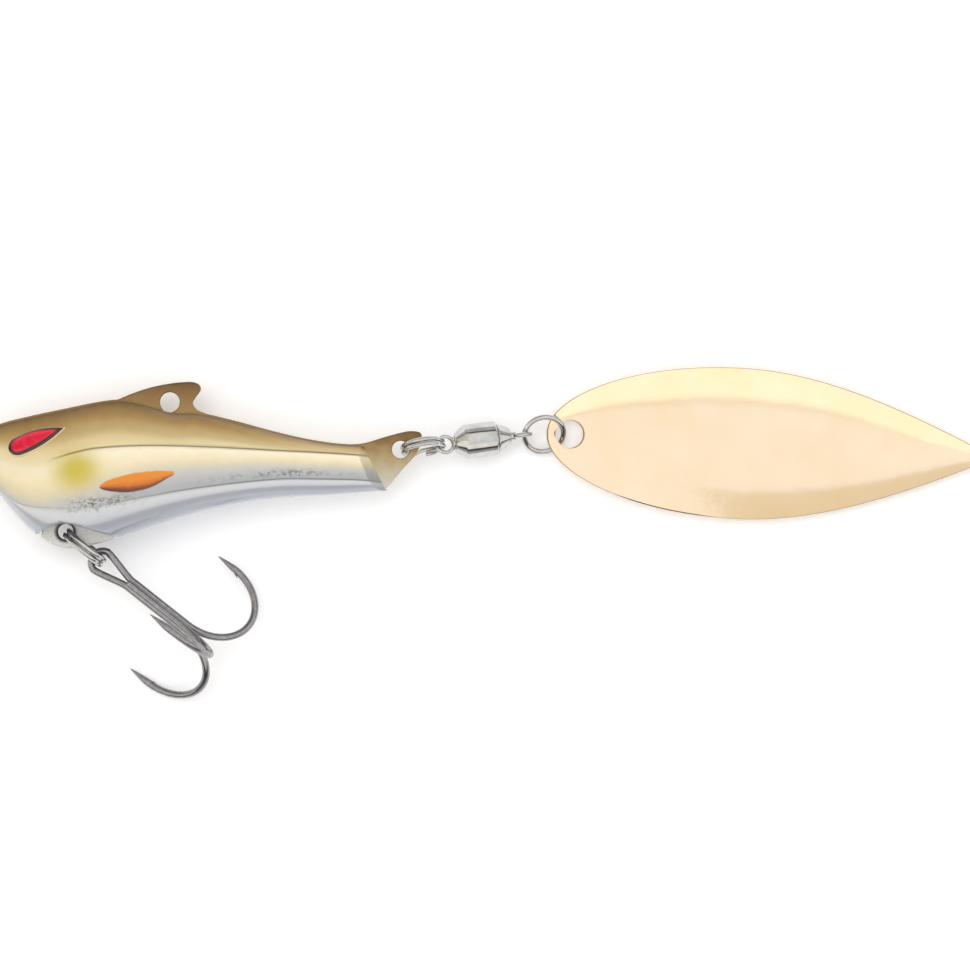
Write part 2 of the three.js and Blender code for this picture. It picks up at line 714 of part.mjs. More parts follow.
const tailCentre = new THREE.Vector3(tailHole.x, tailHole.y, 0);
const tailRingFrame = link('tail_ring_frame', tailCentre, tailRingYaw, chainSlope, -tailRingLean);
const tailRingCoil = splitRing(tailRing, ringStepAngle * degrees);
const tailRingPiece = addPiece(tailRingFrame, 'tail_split_ring', tailRingCoil, nickel);
tailRingPiece.position.x = tailSeat + ringRadius(tailRing);

const swivelAt = pointOn(tailRingFrame, tailSeat + 2 * ringRadius(tailRing));
const swivelFrame = link('swivel_frame', swivelAt, swivelYaw, chainSlope, -tailRingLean);
addPiece(swivelFrame, 'swivel_barrel', swivelBarrel(), nickel);
addPiece(swivelFrame, 'swivel_front_eye', swivelFrontEye(), nickel);
addPiece(swivelFrame, 'swivel_rear_cap', swivelRearCap(), nickel);

const rotorFrame = link('rotor_frame', swivelAt, swivelYaw, chainSlope);
addPiece(rotorFrame, 'swivel_rotor', swivelRotor(), nickel);
addPiece(rotorFrame, 'thrust_collar', thrustCollar(), ballSteel);
for (let i = 0; i < ballCount; i++) {
  const angle = (2 * Math.PI * i) / ballCount;
  const sphere = new THREE.SphereGeometry(ballRadius, 10, 7);
  const ball = addPiece(rotorFrame, `bearing_ball_${i + 1}`, sphere, ballSteel);
  ball.position.set(ballPlane, ballCircle * Math.cos(angle), ballCircle * Math.sin(angle));
}

const bladeRingAt = pointOn(rotorFrame, swivelPull);
const bladeRingFrame = link('blade_ring_frame', bladeRingAt, bladeRingYaw, chainSlope, bladeRingLean);
const bladeRingGeometry = new THREE.TorusGeometry(ringRadius(bladeRing), bladeRing.wire / 2, 8, 30);
const bladeRingPiece = addPiece(bladeRingFrame, 'blade_ring', bladeRingGeometry, nickel);
bladeRingPiece.position.x = ringRadius(bladeRing);

const bladeHoleAt = pointOn(bladeRingFrame, 2 * ringRadius(bladeRing));
bladeHoleAt.x += bladeSeat;
bladeHoleAt.z -= bladeHeight(-bladeSeat, 0);
const bladeFrame = link('blade_frame', bladeHoleAt, bladeYaw, 0);
addPiece(bladeFrame, 'blade', blade(), goldPlate);

// The origin is the middle of the lure's footprint on the floor.
const extent = new THREE.Box3().setFromObject(lure, true);
const middle = extent.getCenter(new THREE.Vector3());
lure.position.set(-middle.x, -middle.y, -extent.min.z);

export default lure;
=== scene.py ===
"""A tail spinner lure lying on its side on a pale table, left flank up.

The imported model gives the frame: its bodies, its joints and its size. Each piece here is made to the
same driving dimensions in millimetres, with the line-tie hole at 0, 0 and the lure's middle plane at
z = 0, and is then placed in the frame, in metres.
"""

import json
import math

import bmesh
import bpy
import numpy as np
from mathutils import Matrix, Vector


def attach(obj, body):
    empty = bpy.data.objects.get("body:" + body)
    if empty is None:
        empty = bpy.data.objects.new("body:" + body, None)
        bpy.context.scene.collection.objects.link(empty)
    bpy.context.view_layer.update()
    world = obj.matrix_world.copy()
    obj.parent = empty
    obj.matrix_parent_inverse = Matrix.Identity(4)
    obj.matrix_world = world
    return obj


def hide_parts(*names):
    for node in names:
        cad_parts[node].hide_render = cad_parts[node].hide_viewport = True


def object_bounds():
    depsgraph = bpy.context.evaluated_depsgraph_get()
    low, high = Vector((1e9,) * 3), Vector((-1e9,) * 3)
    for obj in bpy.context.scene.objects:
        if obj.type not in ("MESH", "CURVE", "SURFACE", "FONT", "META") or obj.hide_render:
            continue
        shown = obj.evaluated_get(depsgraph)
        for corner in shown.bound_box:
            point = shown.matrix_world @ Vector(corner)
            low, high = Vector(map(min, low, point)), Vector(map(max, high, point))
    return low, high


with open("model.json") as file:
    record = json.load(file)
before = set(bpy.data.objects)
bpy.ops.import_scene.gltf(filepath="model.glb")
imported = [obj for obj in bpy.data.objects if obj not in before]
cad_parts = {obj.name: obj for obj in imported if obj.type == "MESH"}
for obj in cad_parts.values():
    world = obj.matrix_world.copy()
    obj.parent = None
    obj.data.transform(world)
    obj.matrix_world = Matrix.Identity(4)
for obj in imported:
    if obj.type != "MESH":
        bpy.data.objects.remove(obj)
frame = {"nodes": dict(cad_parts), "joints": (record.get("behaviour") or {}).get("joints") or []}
cad_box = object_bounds()
MM = 0.001

# ---- Driving dimensions, in millimetres and degrees ----------------------------------------------
BODY_LENGTH = 40.6
BODY_HALF_WIDTH = 4.3
UPPER_CREASE_SHARE = 0.79
RIDGE_HALF_WIDTH = 0.75
PLATE_THICK = 0.8
PLATE_PROUD = 0.15
LINE_TIE_RADIUS = 0.95
LUG_HOLE = (-10.0, -12.45)
LUG_HOLE_RADIUS = 0.75
TAIL_HOLE = (22.19, -4.56)
TAIL_HOLE_RADIUS = 0.84
EYE_LENGTH = 5.3
EYE_RADIUS = 0.95
EYE_AT = (-12.42, -3.58)
EYE_ANGLE = 22.5
EYE_PROUD = 0.3
EYE_EDGE_PROUD = 0.15
EYE_SPILL = 1.1
EYE_DEPTH = 0.45

BELLY_RING_OUTER, BELLY_RING_WIRE = 5.0, 0.5
TAIL_RING_OUTER, TAIL_RING_WIRE = 4.4, 0.45
BLADE_RING_OUTER, BLADE_RING_WIRE = 4.4, 0.55
TURN_GAP = 0.03
RING_STEP_ANGLE = 260

HOOK_WIRE = 0.72
HOOK_EYE_OUTER = 1.48
HOOK_SHANK_START = 2.6
HOOK_BEND_START = {"double": 10.1, "single": 9.2}
HOOK_BEND_DEPTH = 4.6
HOOK_GAPE = 7.6
HOOK_TAPER = 2.0
HOOK_STRAND_GAP = 0.03

SWIVEL_RADIUS = 1.7
SWIVEL_WALL = 0.36
SWIVEL_NOSE = 1.12
SWIVEL_SHOULDER = 2.13
SWIVEL_JOINT = 5.23
SWIVEL_END = 6.62
SWIVEL_NOSE_RADIUS = 0.85
SWIVEL_END_RADIUS = 0.82
SWIVEL_PULL = 8.06
SWIVEL_FIT = 0.05
FRONT_EYE = {"opening": 0.6, "wire": 0.4, "stem": 0.48, "head": 0.8}
REAR_EYE = {"opening": 0.55, "wire": 0.48, "stem": 0.42, "head": 0.68}

BLADE_LENGTH = 43.4
BLADE_WIDTH = 14.6
BLADE_THICK = 0.45
BLADE_HOLE_RADIUS = 1.35
BLADE_MARGIN = 0.85
BLADE_LONG_RADIUS = 196
BLADE_RIM_SLOPE = 0.33

BELLY_RING_YAW = -40
TREBLE_YAW = -38.2
TREBLE_LIFT = 1.6
TREBLE_ROLL = 4
TAIL_RING_YAW = 6.7
TAIL_RING_LEAN = 15
SWIVEL_YAW = 7.2
BLADE_RING_YAW = 1
BLADE_RING_LEAN = 31
BLADE_YAW = -3.2

# ---- Places in the frame -------------------------------------------------------------------------
# The joints sit on the holes and wires that the pieces hang on, so they place every link of the lure.
pivots = {joint["name"]: Vector(joint["pos_m"]) / MM for joint in frame["joints"]}
axes = {joint["name"]: Vector(joint["axis"]) for joint in frame["joints"]}
line_tie = pivots["belly_ring_swing"] - Vector((*LUG_HOLE, 0))
chain_slope = -math.degrees(math.asin(axes["rotor_spin"].z))


def link(at, yaw, slope=0, roll=0):
    """A piece's own frame: it starts at a point and runs along +X at a yaw and a downward slope."""
    turn = Matrix.Rotation(math.radians(yaw), 4, "Z")
    tilt = Matrix.Rotation(math.radians(slope), 4, "Y")
    lean = Matrix.Rotation(math.radians(roll), 4, "X")
    return Matrix.Translation(at) @ turn @ tilt @ lean


body_link = Matrix.Translation(line_tie)
belly_ring_link = link(pivots["treble_swing"], BELLY_RING_YAW)
belly_ring_reach = Vector(((BELLY_RING_OUTER - BELLY_RING_WIRE) / 2, 0, 0))
treble_link = link(belly_ring_link @ belly_ring_reach, TREBLE_YAW, -TREBLE_LIFT)
tail_ring_link = link(pivots["swivel_swing"], TAIL_RING_YAW, chain_slope, -TAIL_RING_LEAN)
swivel_link = link(pivots["rotor_spin"], SWIVEL_YAW, chain_slope, -TAIL_RING_LEAN)
rotor_link = link(pivots["rotor_spin"], SWIVEL_YAW, chain_slope)
blade_ring_link = link(pivots["blade_ring_swing"], BLADE_RING_YAW, chain_slope, BLADE_RING_LEAN)
blade_link = link(pivots["blade_swing"], BLADE_YAW)


# ---- Shader nodes --------------------------------------------------------------------------------
def linear(colour):
    """A grey level, or an sRGB colour such as #8A6232, as linear red, green, blue and alpha."""
    if not isinstance(colour, str):
        return [colour, colour, colour, 1.0]
    channels = [int(colour[i : i + 2], 16) / 255 for i in (1, 3, 5)]
    return [c / 12.92 if c <= 0.04045 else ((c + 0.055) / 1.055) ** 2.4 for c in channels] + [1.0]


def add(tree, kind, inputs, output=None, stops=(), **settings):
    """Adds a node with its settings and links, and gives the named output or else its first live one.

    An input given as a socket is linked, and any other value is set. A colour ramp's stops are pairs
    of a position and a colour or grey level.
    """
    node = tree.nodes.new("ShaderNode" + kind)
    for name, value in settings.items():
        setattr(node, name, value)
    for i, (position, colour) in enumerate(stops):
        elements = node.color_ramp.elements
        element = elements[i] if i < len(elements) else elements.new(position)
        element.position = position
        element.color = linear(colour)
    live = {socket.name: socket for socket in reversed(node.inputs) if socket.enabled}
    for name, value in inputs.items():
        socket = node.inputs[name] if isinstance(name, int) else live[name]
        if isinstance(value, bpy.types.NodeSocket):
            tree.links.new(value, socket)
        else:
            socket.default_value = linear(value) if isinstance(value, str) else value
    if output:
        return node.outputs[output]
    return next((socket for socket in node.outputs if socket.enabled), None)


def new_finish(name):
    """An empty material, its node tree, and the place on the piece in millimetres for its patterns."""
    material = bpy.data.materials.new(name)
    material.use_nodes = True
    tree = material.node_tree
    tree.nodes.clear()
    place = add(tree, "TexCoord", {}, output="Object")
    return material, tree, add(tree, "VectorMath", {0: place, "Scale": 1 / MM}, operation="SCALE")


# ---- Finishes ------------------------------------------------------------------------------------
def foil_and_lacquer():
    """Body casting: hot-stamped foil over lead, sprayed colour on top of it, then thick clear lacquer."""
    material, tree, mm = new_finish("hot_stamped_foil_under_clear_lacquer")

    def mark(name):
        return add(tree, "Attribute", {}, output="Fac", attribute_name=name)

    mottle = add(tree, "TexNoise", {"Vector": mm, "Scale": 0.9, "Detail": 4.0})
    uneven = add(tree, "Math", {0: mottle, 1: 0.5}, operation="SUBTRACT")
    # Each sprayed area is toned by its place on the casting, a little unevenly, as a spray gun leaves it; on
    # the flank, the belly and the pectoral fin that tone also holds painted light and shade.
    shade = {}
    for name, amount in (
        ("back_share", 0.12), ("flank_share", 0.16), ("belly_share", 0.1), ("pectoral_shade_side", 0.3),
        ("pectoral_mark", 0.25),
    ):
        shade[name] = add(tree, "Math", {0: uneven, 1: amount, 2: mark(name)}, operation="MULTIPLY_ADD")
    # Back: dark brown along the ridge, fading through olive gold to cream at the crease.
    back_colour = add(tree, "ValToRGB", {"Fac": shade["back_share"]}, stops=[
        (0.0, "#E6D5AA"), (0.2, "#E3CF9F"), (0.45, "#CDB178"), (0.68, "#AE8C4C"), (0.88, "#8C6B36"),
        (1.0, "#654A26"),
    ])
    # Flank: bare foil, cream under the crease with a painted highlight in a brighter band just below it,
    # then tan and cool grey towards the girth.
    flank_colour_painted_highlight = add(tree, "ValToRGB", {"Fac": shade["flank_share"]}, stops=[
        (0.0, "#EBDFBE"), (0.1, "#F8EFD6"), (0.3, "#F0E2BF"), (0.46, "#DFD3B4"), (0.6, "#C9C6BE"),
        (0.8, "#B6B7B9"), (1.0, "#AAACB0"),
    ])
    # Belly: pale blue-grey lacquer, with painted shade that leaves it lightest just under the girth and
    # darkens it towards the keel.
    belly_colour_painted_shade = add(tree, "ValToRGB", {"Fac": shade["belly_share"]}, stops=[
        (0.0, "#BDBFC4"), (0.12, "#CDCFD5"), (0.4, "#BFC2CC"), (0.75, "#ABB0BD"), (1.0, "#9AA0AE"),
    ])
    # Pectoral fin: orange, with painted shade in dark brown along its lower edge, standing in for the shadow
    # under a raised fin.
    fin_colour = add(tree, "ValToRGB", {"Fac": shade["pectoral_shade_side"]}, stops=[
        (0.0, "#4A200C"), (0.18, "#82380A"), (0.36, "#C86806"), (0.6, "#E38404"), (1.0, "#E18A0C"),
    ])
    fin_range = {"From Min": -0.06, "From Max": 0.06}
    fin_share = add(tree, "MapRange", {"Value": shade["pectoral_mark"], **fin_range})
    # The crinkled foil shows dark flecks, drawn out along the body, in patches under the fin and along the
    # girth; their darkness is painted shade under the fin and painted dark reflection in the foil.
    drawn_out = add(tree, "Mapping", {"Vector": mm, "Scale": (0.55, 1.0, 1.0)})
    flecks = add(tree, "TexNoise", {"Vector": drawn_out, "Scale": 3.6, "Detail": 5.0, "Roughness": 0.75})
    patches = add(tree, "TexNoise", {"Vector": mm, "Scale": 0.8, "Detail": 3.0})
    patch_share = add(tree, "MapRange", {"Value": patches, "From Min": 0.36, "From Max": 0.6})
    crinkled_and_shaded = add(tree, "Math", {0: mark("foil_flecks_and_painted_shade"), 1: patch_share}, operation="MULTIPLY")
    fleck_and_shade_share = add(tree, "MapRange", {"Value": flecks, "From Min": 0.48, "From Max": 0.55})
    fleck_and_shade_share = add(tree, "Math", {0: crinkled_and_shaded, 1: fleck_and_shade_share}, operation="MULTIPLY")
    ridge_share = add(tree, "MapRange", {"Value": mark("below_ridge"), "From Min": 0.2, "From Max": 0.05})
    # Each coat lies over the ones before it: its colour, how much it hides, and where it is.
    coats = [
        (flank_colour_painted_highlight, 1.0, mark("girth_cover")),
        (back_colour, 1.0, mark("back_cover")),
        # Dark flecks: crinkled foil, darkened as painted shade under the fin and as painted dark reflection.
        ("#434838", 0.9, fleck_and_shade_share),
        ("#C9B73A", 0.95, mark("gill_patch")),
        (fin_colour, 1.0, fin_share),
        # Painted shade: thin dark lines along the upper crease, along the lower crease at the girth, and at
        # the foot of the casting by the lug, where these fall into shadow.
        ("#5C4B26", 0.7, mark("crease_painted_shade")),
        ("#6E6F74", 0.55, mark("girth_painted_shade")),
        ("#55565A", 0.8, mark("foot_painted_shade")),
        ("#6B4F28", 1.0, ridge_share),
    ]
    colour = belly_colour_painted_shade
    for coat, strength, place in coats:
        cover = add(tree, "Math", {0: place, 1: strength}, operation="MULTIPLY")
        colour = add(tree, "Mix", {"Factor": cover, "A": colour, "B": coat}, data_type="RGBA")
    # The lacquer is dull and rough where the foil under it is broken, and rolls gently elsewhere.
    torn = add(tree, "Math", {0: flecks, 1: crinkled_and_shaded}, operation="MULTIPLY")
    rough = add(tree, "MapRange", {"Value": torn, "To Min": 0.3, "To Max": 0.55})
    waves = add(tree, "TexNoise", {"Vector": mm, "Scale": 0.45, "Detail": 2.0})
    relief = add(tree, "Math", {0: waves, 1: 4.0, 2: torn}, operation="MULTIPLY_ADD")
    bump = add(tree, "Bump", {"Height": relief, "Strength": 0.3, "Distance": 0.03 * MM})
    surface = add(tree, "BsdfPrincipled", {
        "Base Color": colour, "Metallic": 0.3, "Roughness": rough, "Coat Weight": 0.8,
        "Coat Roughness": 0.05, "Normal": bump,
    })
    add(tree, "OutputMaterial", {"Surface": surface})
    return material


def bronzed_plate():
    """Stamped plate: bronze lacquer, worn thin towards the tail and bare steel at the belly lug."""
    material, tree, mm = new_finish("bronze_lacquer_on_stamped_steel")
    along = add(tree, "SeparateXYZ", {"Vector": mm}, output="X")
    height = add(tree, "SeparateXYZ", {"Vector": mm}, output="Y")
    mottle = add(tree, "TexNoise", {"Vector": mm, "Scale": 1.1, "Detail": 5.0})
    uneven = add(tree, "Math", {0: mottle, 1: 0.5}, operation="SUBTRACT")
    grain = add(tree, "TexNoise", {"Vector": mm, "Scale": 7.0, "Detail": 5.0, "Roughness": 0.7})
    # Fin: darkest along its top edge.
    fin_range = {"From Min": line_tie.y - 0.8, "From Max": line_tie.y + 1.9}
    fin_height = add(tree, "MapRange", {"Value": height, **fin_range})
    fin_shade = add(tree, "Math", {0: uneven, 1: 0.35, 2: fin_height}, operation="MULTIPLY_ADD")
    fin_colour = add(tree, "ValToRGB", {"Fac": fin_shade}, stops=[
        (0.0, "#9A7A44"), (0.45, "#8A6936"), (0.85, "#745427"), (1.0, "#5E431F"),
    ])
    # Tail: the lacquer thins out towards its lower edge, where the steel shows through.
    tail_range = {"From Min": line_tie.y - 8.2, "From Max": line_tie.y - 2.9}
    tail_height = add(tree, "MapRange", {"Value": height, **tail_range})
    tail_shade = add(tree, "Math", {0: uneven, 1: 0.3, 2: tail_height}, operation="MULTIPLY_ADD")
    tail_colour = add(tree, "ValToRGB", {"Fac": tail_shade}, stops=[
        (0.0, "#CBC6BA"), (0.3, "#BDB198"), (0.58, "#AC9468"), (0.8, "#8C6C3A"), (1.0, "#6B4E25"),
    ])
    at_tail = {"From Min": line_tie.x + 15.0, "From Max": line_tie.x + 18.5}
    tail_share = add(tree, "MapRange", {"Value": along, **at_tail})
    # Belly lug: tumbled steel without lacquer, dark with wear round its hole.
    lug_colour = add(tree, "ValToRGB", {"Fac": grain}, stops=[
        (0.3, "#B0B0AF"), (0.5, "#D6D6D4"), (0.7, "#ECEBE9"),
    ])
    below_casting = {"From Min": line_tie.y - 9.6, "From Max": line_tie.y - 11.2}
    lug_share = add(tree, "MapRange", {"Value": height, **below_casting})
    ahead_of_fin = {"From Min": line_tie.x, "From Max": line_tie.x - 3}
    ahead_of_fin = add(tree, "MapRange", {"Value": along, **ahead_of_fin})
    lug_share = add(tree, "Math", {0: lug_share, 1: ahead_of_fin}, operation="MULTIPLY")
    lug_hole = line_tie + Vector((*LUG_HOLE, 0))
    away = add(tree, "VectorMath", {0: mm, 1: lug_hole}, output="Value", operation="DISTANCE")
    wear_range = {"From Min": LUG_HOLE_RADIUS + 0.5, "From Max": LUG_HOLE_RADIUS + 0.25}
    wear_share = add(tree, "MapRange", {"Value": away, **wear_range})
    colour = fin_colour
    for coat, place in ((tail_colour, tail_share), (lug_colour, lug_share), ("#4A4846", wear_share)):
        colour = add(tree, "Mix", {"Factor": place, "A": colour, "B": coat}, data_type="RGBA")
    rough_range = {"From Min": 0.3, "From Max": 0.7, "To Min": 0.26, "To Max": 0.42}
    rough = add(tree, "MapRange", {"Value": grain, **rough_range})
    bump = add(tree, "Bump", {"Height": grain, "Strength": 0.2, "Distance": 0.015 * MM})
    surface = add(tree, "BsdfPrincipled", {
        "Base Color": colour, "Metallic": 0.45, "Roughness": rough, "Coat Weight": 0.5,
        "Coat Roughness": 0.08, "Normal": bump,
    })
    add(tree, "OutputMaterial", {"Surface": surface})
    return material


def red_resin():
    """Eyes: clear red resin poured over foil, with black round its lower edge."""
    material, tree, mm = new_finish("poured_red_resin_over_foil")
    inset = add(tree, "Attribute", {}, output="Fac", attribute_name="inside_edge")
    side = add(tree, "Attribute", {}, output="Fac", attribute_name="eye_side")
    mottle = add(tree, "TexNoise", {"Vector": mm, "Scale": 2.2, "Detail": 4.0})
    colour = add(tree, "ValToRGB", {"Fac": mottle}, stops=[
        (0.3, "#CF0D30"), (0.55, "#DE1439"), (0.75, "#E92347"),
    ])
    # Black that reaches wider along the lower side, a dark outline, and the pale foil at the rim.
    reach = add(tree, "Math", {0: side, 1: 0.55, 2: inset}, operation="MULTIPLY_ADD")
    for coat, value, full, none in (
        ("#1C0A0C", reach, 0.0, 0.16), ("#3A1210", inset, 0.15, 0.24), ("#E6D6AC", inset, 0.015, 0.035),
    ):
        place = add(tree, "MapRange", {"Value": value, "From Min": none, "From Max": full})
        colour = add(tree, "Mix", {"Factor": place, "A": colour, "B": coat}, data_type="RGBA")
    rough_range = {"From Min": 0.3, "From Max": 0.7, "To Min": 0.22, "To Max": 0.3}
    rough = add(tree, "MapRange", {"Value": mottle, **rough_range})
    bump = add(tree, "Bump", {"Height": mottle, "Strength": 0.1, "Distance": 0.03 * MM})
    surface = add(tree, "BsdfPrincipled", {
        "Base Color": colour, "Roughness": rough, "Coat Weight": 1.0, "Coat Roughness": 0.03, "Normal": bump,
    })
    add(tree, "OutputMaterial", {"Surface": surface})
    return material


def bright_nickel():
    """Rings and swivel: polished nickel plate, with faint smears where it has been handled."""
    material, tree, mm = new_finish("polished_nickel_plate")
    smear = add(tree, "TexNoise", {"Vector": mm, "Scale": 1.1, "Detail": 4.0})
    polish = add(tree, "TexNoise", {"Vector": mm, "Scale": 9.0, "Detail": 3.0})
    colour = add(tree, "ValToRGB", {"Fac": smear}, stops=[(0.3, "#BFBEBD"), (0.7, "#D3D2D1")])
    rough_range = {"From Min": 0.3, "From Max": 0.75, "To Min": 0.07, "To Max": 0.16}
    rough = add(tree, "MapRange", {"Value": smear, **rough_range})
    bump = add(tree, "Bump", {"Height": polish, "Strength": 0.12, "Distance": 0.01 * MM})
    plate = {"Base Color": colour, "Metallic": 1.0, "Roughness": rough, "Normal": bump}
    add(tree, "OutputMaterial", {"Surface": add(tree, "BsdfPrincipled", plate)})
    return material


def black_nickel():
    """Treble hook: black nickel over drawn and forged wire, a little uneven in tone."""
    material, tree, mm = new_finish("black_nickel_on_drawn_wire")
    drawn = add(tree, "TexNoise", {"Vector": mm, "Scale": 2.6, "Detail": 6.0, "Roughness": 0.7})
    pits = add(tree, "TexNoise", {"Vector": mm, "Scale": 11.0, "Detail": 3.0})
    colour = add(tree, "ValToRGB", {"Fac": drawn}, stops=[
        (0.3, "#88868A"), (0.55, "#9B999C"), (0.75, "#B0AEB0"),
    ])
    rough_range = {"From Min": 0.3, "From Max": 0.7, "To Min": 0.13, "To Max": 0.22}
    rough = add(tree, "MapRange", {"Value": pits, **rough_range})
    bump = add(tree, "Bump", {"Height": pits, "Strength": 0.12, "Distance": 0.012 * MM})
    plate = {"Base Color": colour, "Metallic": 1.0, "Roughness": rough, "Normal": bump}
    add(tree, "OutputMaterial", {"Surface": add(tree, "BsdfPrincipled", plate)})
    return material


def ground_steel():
    """Bearing: ground and lapped steel, mirror bright under a trace of oil."""
    material, tree, mm = new_finish("lapped_bearing_steel")
    oil = add(tree, "TexNoise", {"Vector": mm, "Scale": 3.0, "Detail": 3.0})
    colour = add(tree, "ValToRGB", {"Fac": oil}, stops=[(0.3, "#C9C8C6"), (0.7, "#DEDEDE")])
    rough_range = {"From Min": 0.3, "From Max": 0.7, "To Min": 0.06, "To Max": 0.14}
    rough = add(tree, "MapRange", {"Value": oil, **rough_range})
    bump = add(tree, "Bump", {"Height": oil, "Strength": 0.05, "Distance": 0.01 * MM})
    steel = {"Base Color": colour, "Metallic": 1.0, "Roughness": rough, "Normal": bump}
    add(tree, "OutputMaterial", {"Surface": add(tree, "BsdfPrincipled", steel)})
    return material


def pale_gold_plate():
    """Blade: pale gold plate on buffed brass, with soft rolling waves and fine buffing lines."""
    material, tree, mm = new_finish("pale_gold_plate_on_buffed_brass")
    cloud = add(tree, "TexNoise", {"Vector": mm, "Scale": 0.22, "Detail": 3.0})
    colour = add(tree, "ValToRGB", {"Fac": cloud}, stops=[
        (0.3, "#FBE3C0"), (0.55, "#FCE6C7"), (0.75, "#FDE9CD"),
    ])
    # The cut edge is darker brown, and nearly black along the lower edge, where a painted dark reflection
    # lies along the rim.
    for coat, name, none, full in (
        ("#A07C48", "from_edge", 0.2, 0.06), ("#3B2A14", "painted_dark_edge", 0.25, 0.6),
    ):
        value = add(tree, "Attribute", {}, output="Fac", attribute_name=name)
        place = add(tree, "MapRange", {"Value": value, "From Min": none, "From Max": full})
        colour = add(tree, "Mix", {"Factor": place, "A": colour, "B": coat}, data_type="RGBA")
    # Buffing lines run along the blade; real ones are finer, and these are as coarse as the eye can see.
    lines = add(tree, "Mapping", {"Vector": mm, "Scale": (0.25, 6.0, 1.0)})
    buffing = add(tree, "TexNoise", {"Vector": lines, "Scale": 1.5, "Detail": 4.0})
    rough_range = {"From Min": 0.3, "From Max": 0.7, "To Min": 0.08, "To Max": 0.13}
    rough = add(tree, "MapRange", {"Value": buffing, **rough_range})
    relief = add(tree, "Math", {0: buffing, 1: 0.02, 2: cloud}, operation="MULTIPLY_ADD")
    bump = add(tree, "Bump", {"Height": relief, "Strength": 0.1, "Distance": 0.3 * MM})
    plate = {"Base Color": colour, "Metallic": 1.0, "Roughness": rough, "Normal": bump}
    add(tree, "OutputMaterial", {"Surface": add(tree, "BsdfPrincipled", plate)})
    return material


def pale_table():
    """Table: matt white board with a very fine tooth, lit faintly from below as a light table is."""
    material, tree, mm = new_finish("matt_white_board")
    tooth = add(tree, "TexNoise", {"Vector": mm, "Scale": 2.0, "Detail": 3.0})
    colour = add(tree, "ValToRGB", {"Fac": tooth}, stops=[(0.3, "#F4F5F9"), (0.7, "#F8F9FD")])
    bump = add(tree, "Bump", {"Height": tooth, "Strength": 0.04, "Distance": 0.05 * MM})
    surface = add(tree, "BsdfPrincipled", {
        "Base Color": colour, "Roughness": 0.85, "Specular IOR Level": 0.1, "Emission Color": "#FFFFFF",
        "Emission Strength": 0.16, "Normal": bump,
    })
    add(tree, "OutputMaterial", {"Surface": surface})
    return material


foil = foil_and_lacquer()
bronze = bronzed_plate()
resin = red_resin()
nickel = bright_nickel()
gunmetal = black_nickel()
bearing = ground_steel()
gold = pale_gold_plate()


# ---- Mesh code -----------------------------------------------------------------------------------
def placed(name, points, faces, own_link, finish, attributes=None, sharp=30):
    """A mesh piece from points in millimetres in its own frame, with per-point values for its finish."""
    mesh = bpy.data.meshes.new(name)
    place = np.array(own_link)
    world = (np.asarray(points, float) @ place[:3, :3].T + place[:3, 3]) * MM
    mesh.from_pydata(world.tolist(), [], [tuple(face) for face in faces])
    for label, values in (attributes or {}).items():
        layer = mesh.attributes.new(label, "FLOAT", "POINT")
        layer.data.foreach_set("value", np.asarray(values, np.float32).ravel())
    solid = bmesh.new()
    solid.from_mesh(mesh)
    bmesh.ops.recalc_face_normals(solid, faces=solid.faces)
    solid.to_mesh(mesh)
    solid.free()
    mesh.shade_smooth()
    mesh.set_sharp_from_angle(angle=math.radians(sharp))
    mesh.materials.append(finish)
    piece = bpy.data.objects.new(name, mesh)
    bpy.context.scene.collection.objects.link(piece)
    return piece


def fit(piece, body, slot, *nodes):
    """The piece moves with a body and stands for CAD nodes, which it hides; slot is not used."""
    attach(piece, body)
    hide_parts(*nodes)


def skin(rows, around, close_rows=False, close_around=True):
    """Quads over rows of points, each row having the same number of points."""
    i = np.arange(rows if close_rows else rows - 1)[:, None]
    j = np.arange(around if close_around else around - 1)[None, :]
    next_i = (i + 1) % rows
    next_j = (j + 1) % around
    corners = [i * around + j, i * around + next_j, next_i * around + next_j, next_i * around + j]
    return np.stack(corners, -1).reshape(-1, 4).tolist()


def smooth_line(points):
    """A smooth curve y(x) through points in order of x; x may be an array."""
    px, py = np.array(points, float).T
    order = np.arange(len(px))
    before = np.maximum(order - 1, 0)
    after = np.minimum(order + 1, len(px) - 1)
    slope = (py[after] - py[before]) / (px[after] - px[before])

    def line(x):
        x = np.asarray(x, float)
        i = np.clip(np.searchsorted(px, x, side="right") - 1, 0, len(px) - 2)
        width = px[i + 1] - px[i]
        t = np.clip((x - px[i]) / width, 0, 1)
        rise = py[i] * (1 - 3 * t**2 + 2 * t**3) + py[i + 1] * (3 * t**2 - 2 * t**3)
        return rise + width * (slope[i] * (t - 2 * t**2 + t**3) + slope[i + 1] * (t**3 - t**2))

    return line


def spline(points, steps=12):
    """A smooth way through points, in two or three dimensions."""
    points = [np.array(p, float) for p in points]
    padded = [2 * points[0] - points[1], *points, 2 * points[-1] - points[-2]]
    way = []
    for i in range(1, len(padded) - 2):
        p0, p1, p2, p3 = padded[i - 1 : i + 3]
        d0, d1, d2 = [max(np.linalg.norm(b - a) ** 0.5, 1e-6) for a, b in ((p0, p1), (p1, p2), (p2, p3))]
        start = ((p1 - p0) / d0 - (p2 - p0) / (d0 + d1) + (p2 - p1) / d1) * d1
        end = ((p2 - p1) / d1 - (p3 - p1) / (d1 + d2) + (p3 - p2) / d2) * d1
        for k in range(steps):
            t = k / steps
            way.append(
                p1 * (2 * t**3 - 3 * t**2 + 1) + start * (t**3 - 2 * t**2 + t)
                + p2 * (3 * t**2 - 2 * t**3) + end * (t**3 - t**2)
            )
    way.append(points[-1])
    return np.array(way)


